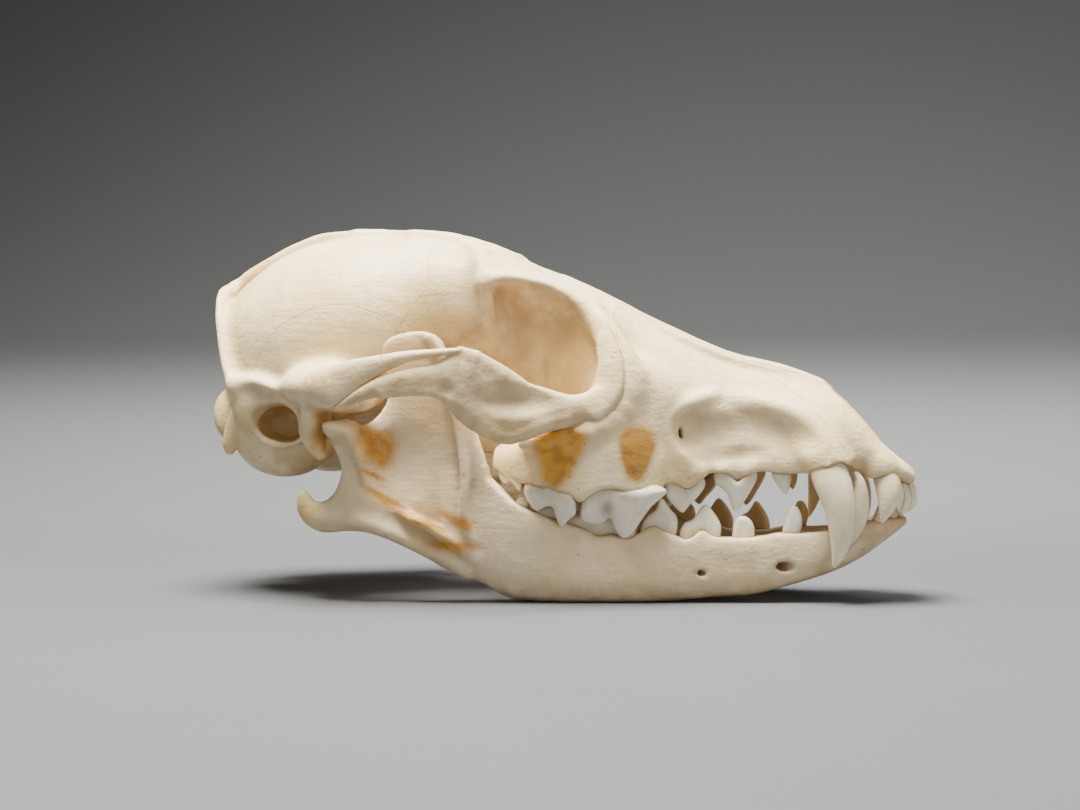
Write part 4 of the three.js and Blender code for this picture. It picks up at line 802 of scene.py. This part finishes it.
def put(name, V, F, layers, material, nodes):
    """Makes the Blender mesh in metres, with its marks as attributes."""
    me = bpy.data.meshes.new(name)
    me.vertices.add(len(V))
    me.vertices.foreach_set("co", (V * 0.001).astype(np.float32).ravel())
    me.loops.add(F.size)
    me.loops.foreach_set("vertex_index", F.astype(np.int32).ravel())
    me.polygons.add(len(F))
    me.polygons.foreach_set("loop_start", np.arange(0, F.size, 4, dtype=np.int32))
    me.polygons.foreach_set("loop_total", np.full(len(F), 4, np.int32))
    me.update(calc_edges=True)
    me.validate()
    for k, v in layers.items():
        a = me.attributes.new(k, "FLOAT", "POINT")
        a.data.foreach_set("value", v.astype(np.float32))
    me.shade_smooth()
    me.materials.append(material)
    o = bpy.data.objects.new(name, me)
    bpy.context.scene.collection.objects.link(o)
    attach(o, "root")
    for n, slot in nodes:
        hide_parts(n)
    return o


# ---------------------------------------------------------------- materials
class Finish:
    """A material built from nodes, with sizes in millimetres."""

    def __init__(s, name):
        s.m = bpy.data.materials.new(name)
        s.m.use_nodes = True
        s.t = s.m.node_tree
        s.t.nodes.clear()
        s.b = s.new("ShaderNodeBsdfPrincipled")
        out = s.new("ShaderNodeOutputMaterial")
        s.t.links.new(s.b.outputs[0], out.inputs[0])
        s.co = s.new("ShaderNodeTexCoord").outputs["Object"]

    def new(s, kind):
        return s.t.nodes.new(kind)

    def put(s, socket_shade, v):
        if isinstance(v, bpy.types.NodeSocket):
            s.t.links.new(v, socket_shade)
        elif isinstance(v, tuple):
            socket_shade.default_value = (*v, 1)
        else:
            socket_shade.default_value = v

    def mark(s, name):
        n = s.new("ShaderNodeAttribute")
        n.attribute_name = name
        return n.outputs["Fac"]

    def cloud(s, size, detail=3, stretch=(1, 1, 1), turn=(0, 0, 0)):
        q = s.new("ShaderNodeMapping")
        s.put(q.inputs["Vector"], s.co)
        q.inputs["Rotation"].default_value = [math.radians(a) for a in turn]
        q.inputs["Scale"].default_value = [1000 / size / k for k in stretch]
        n = s.new("ShaderNodeTexNoise")
        s.put(n.inputs["Vector"], q.outputs[0])
        n.inputs["Scale"].default_value = 1
        n.inputs["Detail"].default_value = detail
        return n.outputs[0]

    def pits(s, size):
        n = s.new("ShaderNodeTexVoronoi")
        s.put(n.inputs["Vector"], s.co)
        n.inputs["Scale"].default_value = 1000 / size
        return n.outputs["Distance"]

    def math(s, op, a, b=0.0):
        n = s.new("ShaderNodeMath")
        n.operation = op
        s.put(n.inputs[0], a)
        s.put(n.inputs[1], b)
        return n.outputs[0]

    def ramp(s, v, a, b, lo=0.0, hi=1.0):
        n = s.new("ShaderNodeMapRange")
        n.interpolation_type = "SMOOTHSTEP"
        for k, q in zip(("Value", "From Min", "From Max", "To Min", "To Max"), (v, a, b, lo, hi)):
            s.put(n.inputs[k], q)
        return n.outputs[0]

    def mix(s, f, a, b):
        n = s.new("ShaderNodeMix")
        n.data_type = "RGBA"
        s.put(n.inputs[0], f)
        s.put(n.inputs[6], a)
        s.put(n.inputs[7], b)
        return n.outputs[2]

    def bump(s, rows):
        """Rows of height and depth in millimetres, one bump over the other."""
        last = None
        for height, depth in rows:
            n = s.new("ShaderNodeBump")
            n.inputs["Strength"].default_value = 1
            n.inputs["Distance"].default_value = depth / 1000
            s.put(n.inputs["Height"], height)
            if last is not None:
                s.put(n.inputs["Normal"], last)
            last = n.outputs[0]
        s.put(s.b.inputs["Normal"], last)


def bone(name, light, warm, shade):
    s = Finish(name)
    c = s.mix(s.ramp(s.cloud(16, 3), 0.38, 0.66), light, warm)
    c = s.mix(s.ramp(s.cloud(4.5, 4), 0.5, 0.75, 0, 0.30), c, shade)
    c = s.mix(s.ramp(s.cloud(0.9, 2), 0.45, 0.8, 0, 0.22), c, shade)
    c = s.mix(s.ramp(s.cloud(1.1, 3, (7, 1, 1)), 0.52, 0.72, 0, 0.20), c, shade)
    # painted shade: hollows are darkened towards brown, and thin edges are a little lighter
    c = s.mix(s.ramp(s.mark("cav"), 0.08, 0.75, 0, 0.72), c, (0.36, 0.235, 0.125))
    c = s.mix(s.ramp(s.mark("thin"), 0.25, 1.0, 0, 0.35), c, (0.86, 0.74, 0.55))
    # tan tone, which also carries painted shade on downward-facing surfaces, on the lower faces of the cheek arch and
    # in the orbit's hollows
    c = s.mix(s.math("MULTIPLY", s.mark("tan_and_shade"), s.ramp(s.cloud(5, 3), 0.3, 0.65, 0.35, 0.9)), c, (0.50, 0.345, 0.195))
    c = s.mix(s.mark("green"), c, (0.66, 0.50, 0.15))
    amber = s.math("MULTIPLY", s.mark("amber"), s.ramp(s.cloud(2.6, 3), 0.3, 0.6, 0.88, 1.0))
    c = s.mix(amber, c, s.mix(s.ramp(s.cloud(3.4, 2), 0.4, 0.62), (0.66, 0.315, 0.022), (0.46, 0.195, 0.012)))
    # stain tone, which also holds painted shade inside the nose, in deep hollows and in small openings
    c = s.mix(s.mark("stain_and_shade"), c, (0.17, 0.075, 0.028))
    # sutures: thin crooked lines
    d = s.math("ABSOLUTE", s.math("ADD", s.mark("seam"), s.math("MULTIPLY", s.math("SUBTRACT", s.cloud(0.9, 2), 0.5), 0.55)))
    line = s.math("MULTIPLY", s.ramp(d, 0.16, 0.03), s.mark("seam_m"))
    c = s.mix(s.math("MULTIPLY", line, 0.8), c, (0.26, 0.16, 0.08))
    # pores, thickest where the bone is rough
    hole = s.math("MULTIPLY", s.ramp(s.pits(1.7), 0.17, 0.08), s.ramp(s.math("ADD", s.cloud(6, 2), s.mark("rough")), 0.58, 0.75))
    c = s.mix(s.math("MULTIPLY", hole, 0.7), c, (0.22, 0.13, 0.065))
    # painted shadow in a thin band of bone round each tooth
    c = s.mix(s.math("MULTIPLY", s.mark("socket_shade"), 0.42), c, (0.28, 0.175, 0.09))
    s.put(s.b.inputs["Base Color"], c)
    s.put(s.b.inputs["Roughness"], s.ramp(s.cloud(3.0, 3), 0.3, 0.7, 0.44, 0.60))
    s.b.inputs["Subsurface Weight"].default_value = 0.16
    s.b.inputs["Subsurface Radius"].default_value = (1.0, 0.62, 0.36)
    s.b.inputs["Subsurface Scale"].default_value = 0.0016
    s.bump([(s.cloud(3.2, 4), 0.24), (s.cloud(0.75, 4), 0.10), (s.cloud(0.8, 3, (8, 1, 1)), 0.10), (s.math("SUBTRACT", 1.0, line), 0.16), (s.math("SUBTRACT", 1.0, hole), 0.14)])
    return s.m


def tooth(name):
    s = Finish(name)
    c = s.mix(s.ramp(s.cloud(4.0, 3), 0.35, 0.7), (0.83, 0.80, 0.72), (0.76, 0.715, 0.61))
    iv = s.mix(s.ramp(s.cloud(3.0, 3, (1, 1, 3)), 0.35, 0.7), (0.93, 0.83, 0.60), (0.86, 0.74, 0.49))
    c = s.mix(s.mark("ivory"), c, iv)
    c = s.mix(s.math("MULTIPLY", s.ramp(s.mark("neck"), 2.6, 0.4), 0.55), c, (0.60, 0.50, 0.33))
    # painted shade in the hollows of the teeth
    c = s.mix(s.ramp(s.mark("cav"), 0.18, 0.95, 0, 0.78), c, (0.20, 0.125, 0.065))
    # painted warm bounce light: the inner faces of the cheek teeth are tinted light orange
    c = s.mix(s.mark("inner"), c, (0.95, 0.66, 0.30))
    # stain tone, which also holds painted shade in the notch of the fourth premolar and between the lower incisors
    c = s.mix(s.mark("stain_and_shade"), c, (0.10, 0.05, 0.022))
    # painted shadow: a dark line where each tooth comes out of the bone
    c = s.mix(s.math("MULTIPLY", s.ramp(s.mark("neck"), 0.30, 0.05), 0.55), c, (0.22, 0.13, 0.065))
    crack = s.ramp(s.math("ABSOLUTE", s.math("SUBTRACT", s.cloud(2.6, 2, (1, 1, 6)), 0.5)), 0.012, 0.002)
    c = s.mix(s.math("MULTIPLY", crack, 0.16), c, (0.36, 0.27, 0.17))
    s.put(s.b.inputs["Base Color"], c)
    s.put(s.b.inputs["Roughness"], s.ramp(s.cloud(1.6, 3), 0.3, 0.7, 0.24, 0.38))
    s.b.inputs["Subsurface Weight"].default_value = 0.2
    s.b.inputs["Subsurface Radius"].default_value = (0.8, 0.8, 0.9)
    s.b.inputs["Subsurface Scale"].default_value = 0.0012
    s.bump([(s.cloud(1.6, 3), 0.06), (s.cloud(0.5, 2, (1, 1, 4)), 0.025), (s.math("SUBTRACT", 1.0, crack), 0.03)])
    return s.m


# ---------------------------------------------------------------- making the pieces
def shifted(V):
    """The small unevenness of a real animal: the two sides aren't quite alike."""
    d = np.stack([noise(V, 46, k) for k in (3, 4, 5)], 1) * np.array([0.16, 0.16, 0.14])
    d[:, 2] *= step(2, 12, V[:, 2])
    d[:, 1] *= step(0.2, 6, np.abs(V[:, 1]))
    return V + d


def relief(V, N, amount=1.0):
    r = 0.085 * noise(V, 9, 0) + 0.05 * noise(V, 3.6, 1) + 0.028 * noise(V, 1.6, 2)
    return V + N * (r * amount * step(0.4, 3.0, V[:, 2]))[:, None]


def finish_bone(V, N, marks, teeth_d, rough):
    # painted shadow round the tooth sockets
    marks["socket_shade"] = step(0.32, 0.05, teeth_d) * step(-0.9, -0.1, teeth_d)
    marks["rough"] = rough
    for k in ("amber", "stain_and_shade", "seam", "seam_m", "tan_and_shade", "green"):
        marks.setdefault(k, np.zeros(len(V)) if k != "seam" else np.full(len(V), 2.0))
    # painted shade: surfaces facing downwards are tinted darker tan
    marks["tan_and_shade"] = np.clip(marks["tan_and_shade"] + 0.90 * step(0.20, -0.65, N[:, 2]), 0, 1)
    return shifted(relief(V, N)), marks


UPPER, MILK, LOWER = upper_teeth(), milk_tooth(), lower_teeth()
WORN, WHOLE = lower_premolar(True), lower_premolar(False)
CRANIUM, CHEEK, MANDIBLE = cranium_shape(), cheek_shape(), mandible_shape()

M_BONE = bone("bone", (0.94, 0.785, 0.49), (0.90, 0.69, 0.35), (0.70, 0.49, 0.235))
M_CHEEK = bone("bone_cheek", (0.92, 0.755, 0.45), (0.86, 0.645, 0.31), (0.68, 0.465, 0.215))
M_JAW = bone("bone_jaw", (0.87, 0.735, 0.50), (0.81, 0.645, 0.385), (0.66, 0.475, 0.25))
M_TOOTH = tooth("enamel")

# cranium
V, F, N, marks = body("cranium", CRANIUM, ((-80, 0, 20), (79, 45, 83)), STEP["cranium"], mirror=True)
amber = 1.0 * patch(V, [(1.4, 36.4), (6.5, 37.0), (11.9, 35.6), (10.6, 30.0), (6.7, 24.6), (3.0, 24.8), (1.6, 30)], 1.3) * step(20, 22, np.abs(V[:, 1]))
amber = np.maximum(amber, 1.0 * patch(V, [(18.2, 34.4), (20.0, 36.4), (23.4, 36.5), (25.2, 34.2), (24.9, 30.6), (23.6, 27.0), (21.6, 24.8), (19.7, 26.4), (18.4, 30.2)], 1.1) * step(14, 16, np.abs(V[:, 1])))
amber = np.maximum(amber, 0.9 * blob(V, (-44.2, 28, 34.0), (2.4, 6, 4.6)))
amber = np.maximum(amber, 0.5 * blob(V, (-40, 31, 39.2), (5, 6, 1.4)))
amber = np.maximum(amber, 0.95 * step(0.95, 0.5, np.abs(((V[:, 0] + 55.3) / 6.4)) ** 2 + np.abs((V[:, 2] - 37.1) / 4.6) ** 2) * step(25.4, 24.2, np.abs(V[:, 1])) * step(17, 18, np.abs(V[:, 1])) * (0.45 + 0.55 * step(-60, -53, V[:, 0])))
amber = np.maximum(amber, 0.45 * blob(V, (-70, 13, 31), (4, 8, 4)))
amber = np.maximum(amber, 0.35 * blob(V, (6.5, 16, 50), (6, 6, 8)))
marks["amber"] = np.clip(amber, 0, 1)
ear = step(0.15, 0.4, blob(V, (-55.3, 20.0, 36.8), (8, 9, 6)))
# tan tone round the orbit, the muzzle and the front teeth; in the orbit and in the hollow in front of the infraorbital
# opening it is painted shade
marks["tan_and_shade"] = np.clip(0.75 * blob(V, (-7, 12.5, 60), (9, 6, 8)) + 0.45 * blob(V, (5, 16, 56), (6, 6, 8)) + 0.35 * blob(V, (33, 13, 36), (6, 4, 5)) + 0.25 * blob(V, (45, 12, 38), (7, 4, 4)) + 0.5 * blob(V, (-10, 12, 47), (9, 8, 8)) + 0.5 * blob(V, (65.5, 11, 27.5), (3.6, 5, 3.6)) + 0.35 * blob(V, (74, 4, 29.5), (6, 7, 5)), 0, 1)
# painted shade inside the nose and in the deepest hollows away from the ear, and a darker stain within the amber patch
# above the shearing tooth
nose_shade = step(8.0, 5.0, np.abs(V[:, 1])) * step(48, 58, V[:, 0]) * step(0.45, 0.9, marks["cav"])
marks["stain_and_shade"] = np.clip(0.58 * blob(V, (21.6, 18, 29.5), (3.6, 9, 7.5)) * step(0.5, 0.9, marks["amber"]) + 0.6 * nose_shade + 0.5 * step(0.9, 1.3, marks["cav"]) * (1 - 0.8 * ear), 0, 0.92)
cheek_d = at_points(CHEEK, V)
marks["seam"], marks["seam_m"] = seams(V, N, cheek_d)
rough = 0.10 * step(-64, -70, V[:, 0]) + 0.06 * step(34, 28, V[:, 2]) + 0.05 * step(40, 60, V[:, 0])
teeth_d = at_points(UPPER, V)
V, marks = finish_bone(V, N, marks, teeth_d, rough)
put("skull_cranium", V, F, marks, M_BONE, [("cranium", "bone")])

# cheekbones
V0, F0, N0, marks0 = body("cheekbone", CHEEK, ((-40, 14, 30), (21, 45, 62)), STEP["cheek"])
for side in ("right", "left"):
    V, F, N = V0, F0, N0
    if side == "right":
        V, F = other_side(V, F)
        N = N * np.array([1, -1, 1])
    marks = {k: v.copy() for k, v in marks0.items()}
    marks["amber"] = 0.28 * blob(V, (-6, 34, 36), (7, 6, 3.4))
    marks["stain_and_shade"] = np.zeros(len(V))
    # painted shade on the lower, outward-facing faces of the cheek arch
    marks["tan_and_shade"] = 0.95 * step(0.45, -0.05, N[:, 2]) * step(0.0, 0.5, N[:, 1] * np.sign(V[:, 1])) * step(18, 4, V[:, 0])
    d = at_points(CRANIUM, V)
    marks["seam"], marks["seam_m"] = np.clip(d - 0.1, -2, 2), 0.3 * step(1.2, 0.8, np.abs(d)) * step(24, 26, np.abs(V[:, 1]) + 0.4 * V[:, 0])
    V, marks = finish_bone(V, N, marks, np.full(len(V), 9.0), np.zeros(len(V)))
    put("skull_cheekbone_" + side, V, F, marks, M_CHEEK, [("cheekbone_" + side, "bone_cheek")])

# lower jaw, two halves
V0, F0, N0, marks0 = body("mandible", MANDIBLE, ((-53, -1, -2), (78, 40, 60)), STEP["mandible"])
for side in ("right", "left"):
    V, F, N = V0, F0, N0
    if side == "right":
        V, F = other_side(V, F)
        N = N * np.array([1, -1, 1])
    marks = {k: v.copy() for k, v in marks0.items()}
    outer = step(24, 26, np.abs(V[:, 1]))
    amber = 1.0 * patch(V, [(-36.2, 36.0), (-33.0, 36.2), (-28.6, 34.6), (-28.8, 30.6), (-31.0, 27.0), (-34.4, 30.0)], 1.7) * outer
    along = V[:, 2] + 0.42 * V[:, 0]
    streak = step(-0.25, 0.45, noise(np.stack([V[:, 0] * 0.16, V[:, 1] * 0.3, along], 1), 1.25, 2) + 0.35 * noise(np.stack([V[:, 0] * 0.25, V[:, 1] * 0.3, along], 1), 0.6, 4))
    low = patch(V, [(-34.0, 30.4), (-31.4, 26.4), (-28.0, 22.6), (-20.8, 19.4), (-12.6, 17.6), (-11.8, 14.6), (-13.6, 12.4), (-18.5, 12.8), (-25.4, 16.2), (-31.4, 19.6), (-35.6, 26.0)], 1.2) * outer
    amber = np.maximum(amber, low * (0.22 + 0.72 * streak))
    amber = np.maximum(amber, 1.25 * blob(V, (-16.0, 27, 12.0), (5.4, 6, 1.5)) * outer)
    amber = np.maximum(amber, 0.22 * blob(V, (-38, 29, 16.4), (4, 4, 1.4)))
    marks["green"] = 0.95 * blob(V, (-48.0, 27.5, 18.4), (4.8, 5, 4.4))
    amber = np.maximum(amber, 0.30 * step(66, 73, V[:, 0]) * step(10, 15, V[:, 2]))
    marks["tan_and_shade"] = 0.8 * step(60, 67, V[:, 0]) * step(11, 15, V[:, 2]) + 0.35 * step(12.0, 14.5, V[:, 2]) * step(26, 34, V[:, 0])
    marks["amber"] = np.clip(amber, 0, 1)
    # a stain on the ramus, and painted shade inside the two small openings at the front of the jaw
    marks["stain_and_shade"] = np.clip(0.24 * blob(V, (-32.4, 29, 32.6), (3.4, 6, 3.6)) * outer + 0.9 * blob(V, (50.2, 12.6, 7.6), (1.5, 3, 0.9)) + 0.7 * blob(V, (33.5, 16.2, 6.3), (0.9, 3, 0.7)), 0, 0.9)
    d = at_points(LOWER, V)
    d = np.minimum(d, at_points(WORN if side == "right" else WHOLE, V))
    rough = 0.07 * step(50, 66, V[:, 0]) + 0.05 * step(-38, -46, V[:, 0])
    V, marks = finish_bone(V, N, marks, d, rough)
    put("skull_mandible_" + side, V, F, marks, M_JAW, [("mandible_" + side, "bone_jaw")])


def tooth_marks(V, N, shape, extra, lower):
    bone_d = at_points(shape, V)
    extra["neck"] = np.clip(bone_d, 0, 6)
    x = V[:, 0]
    # painted warm bounce light on the inner faces of the cheek teeth
    extra["inner"] = 0.72 * step(0.15, 0.75, -N[:, 1] * np.sign(V[:, 1])) * step(60, 54, x)
    front = step(53.0, 54.0, x) if not lower else step(56, 57, x)
    extra["ivory"] = np.clip(front * (1 - 0.45 * step(14, 9, V[:, 2]) * (not lower)) + 0.25, 0, 1)
    # below: painted shade at the necks of the lower incisors; above: painted shade in the notch of the fourth premolar,
    # and a darker patch on the first molar
    if lower:
        extra["stain_and_shade"] = 0.25 * blob(V, (74, 2, 18), (3, 6, 2))
    else:
        extra["stain_and_shade"] = np.clip(0.9 * blob(V, (15.9, 25.0, 19.4), (1.5, 1.6, 1.9)) + 0.35 * blob(V, (4.4, 19.4, 23.4), (1.4, 3, 1.6)), 0, 0.92)
    return extra


# teeth: the upper ones, then the lower ones of each side
V0, F0, N0, marks0 = body("upper", UPPER, ((-10, 0, 6), (79, 29, 37)), STEP["teeth"], relax_times=1)
V1, F1, N1, marks1 = body("milk", MILK, ((52, 9, 13), (61, 17, 34)), STEP["teeth"], relax_times=1)
VR, FR = other_side(V0, F0)
V = np.concatenate([V0, VR, V1])
F = np.concatenate([F0, FR + len(V0), F1 + 2 * len(V0)])
marks = {k: np.concatenate([marks0[k], marks0[k], marks1[k]]) for k in marks0}
marks = tooth_marks(V, normals(V, F), CRANIUM, marks, False)
put("teeth_upper", shifted(V), F, marks, M_TOOTH, [("cranium", "bone")])
V0, F0, N0, marks0 = body("lower", LOWER, ((-6, 0, 7), (77, 25, 29)), STEP["teeth"], relax_times=1)
for side, extra in (("right", WORN), ("left", WHOLE)):
    V1, F1, N1, marks1 = body("premolar", extra, ((37, 9, 9), (48, 16, 22)), STEP["teeth"], relax_times=1)
    V, F = np.concatenate([V0, V1]), np.concatenate([F0, F1 + len(V0)])
    marks = {k: np.concatenate([marks0[k], marks1[k]]) for k in marks0}
    if side == "right":
        V, F = other_side(V, F)
    marks = tooth_marks(V, normals(V, F), MANDIBLE, marks, True)
    put("teeth_lower_" + side, shifted(V), F, marks, M_TOOTH, [("mandible_" + side, "bone_jaw")])

# ---------------------------------------------------------------- floor, light and camera
prof = [(-2.0, 0.0), (0.25, 0.0)] + [(0.25 + 0.7 * math.sin(math.radians(a)), 0.7 - 0.7 * math.cos(math.radians(a))) for a in range(3, 91, 3)] + [(0.95, 2.2)]
verts = [(x, y, z) for y, z in prof for x in (-3.0, 3.0)]
me = bpy.data.meshes.new("floor")
me.from_pydata(verts, [], [(2 * i, 2 * i + 1, 2 * i + 3, 2 * i + 2) for i in range(len(prof) - 1)])
me.shade_smooth()
floor = bpy.data.objects.new("floor", me)
bpy.context.scene.collection.objects.link(floor)
fl = Finish("floor")
up = fl.new("ShaderNodeSeparateXYZ")
fl.put(up.inputs[0], fl.co)
sweep_tone_and_falloff = fl.mix(fl.cloud(40, 2), (0.105, 0.113, 0.126), (0.115, 0.123, 0.137))
# painted light falloff: the floor is darker near the skull and lighter towards the back, and the backdrop darkens
# higher up
sweep_tone_and_falloff = fl.mix(fl.ramp(up.outputs[1], 0.02, 0.42), sweep_tone_and_falloff, (0.222, 0.233, 0.252))
fl.put(fl.b.inputs["Base Color"], fl.mix(fl.ramp(up.outputs[2], 0.024, 0.084), sweep_tone_and_falloff, (0.071, 0.075, 0.081)))
fl.b.inputs["Roughness"].default_value = 0.75
me.materials.append(fl.m)

world = bpy.data.worlds.new("room")
bpy.context.scene.world = world
world.use_nodes = True
world.node_tree.nodes["Background"].inputs[0].default_value = (1.0, 0.97, 0.93, 1)
world.node_tree.nodes["Background"].inputs[1].default_value = 0.16


def lamp(name, place, aim, watts, size, colour=(1, 1, 1)):
    d = bpy.data.lights.new(name, "AREA")
    d.energy, d.size, d.color = watts, size, colour
    o = bpy.data.objects.new(name, d)
    o.location = place
    v = [a - b for a, b in zip(aim, place)]
    o.rotation_euler = (math.atan2(math.hypot(v[0], v[1]), -v[2]), 0, math.atan2(v[1], v[0]) - math.pi / 2)
    bpy.context.scene.collection.objects.link(o)


lamp("key", (-0.07, -0.06, 0.62), (0, 0, 0.04), 21.0, 0.30, (1.0, 0.955, 0.85))
lamp("fill", (0.55, -0.42, 0.30), (0.02, 0, 0.04), 1.5, 0.45, (1.0, 0.98, 0.94))
lamp("top", (0.12, 0.26, 0.60), (0, 0, 0.05), 1.8, 0.4)

cam = bpy.data.cameras.new("camera")
cam.lens, cam.sensor_width, cam.clip_start = 55, 36, 0.01
eye = bpy.data.objects.new("camera", cam)
eye.location = (0.07606, -0.35706, 0.0410)
eye.rotation_euler = (math.pi / 2, 0, math.radians(12.6))
bpy.context.scene.collection.objects.link(eye)
bpy.context.scene.camera = eye
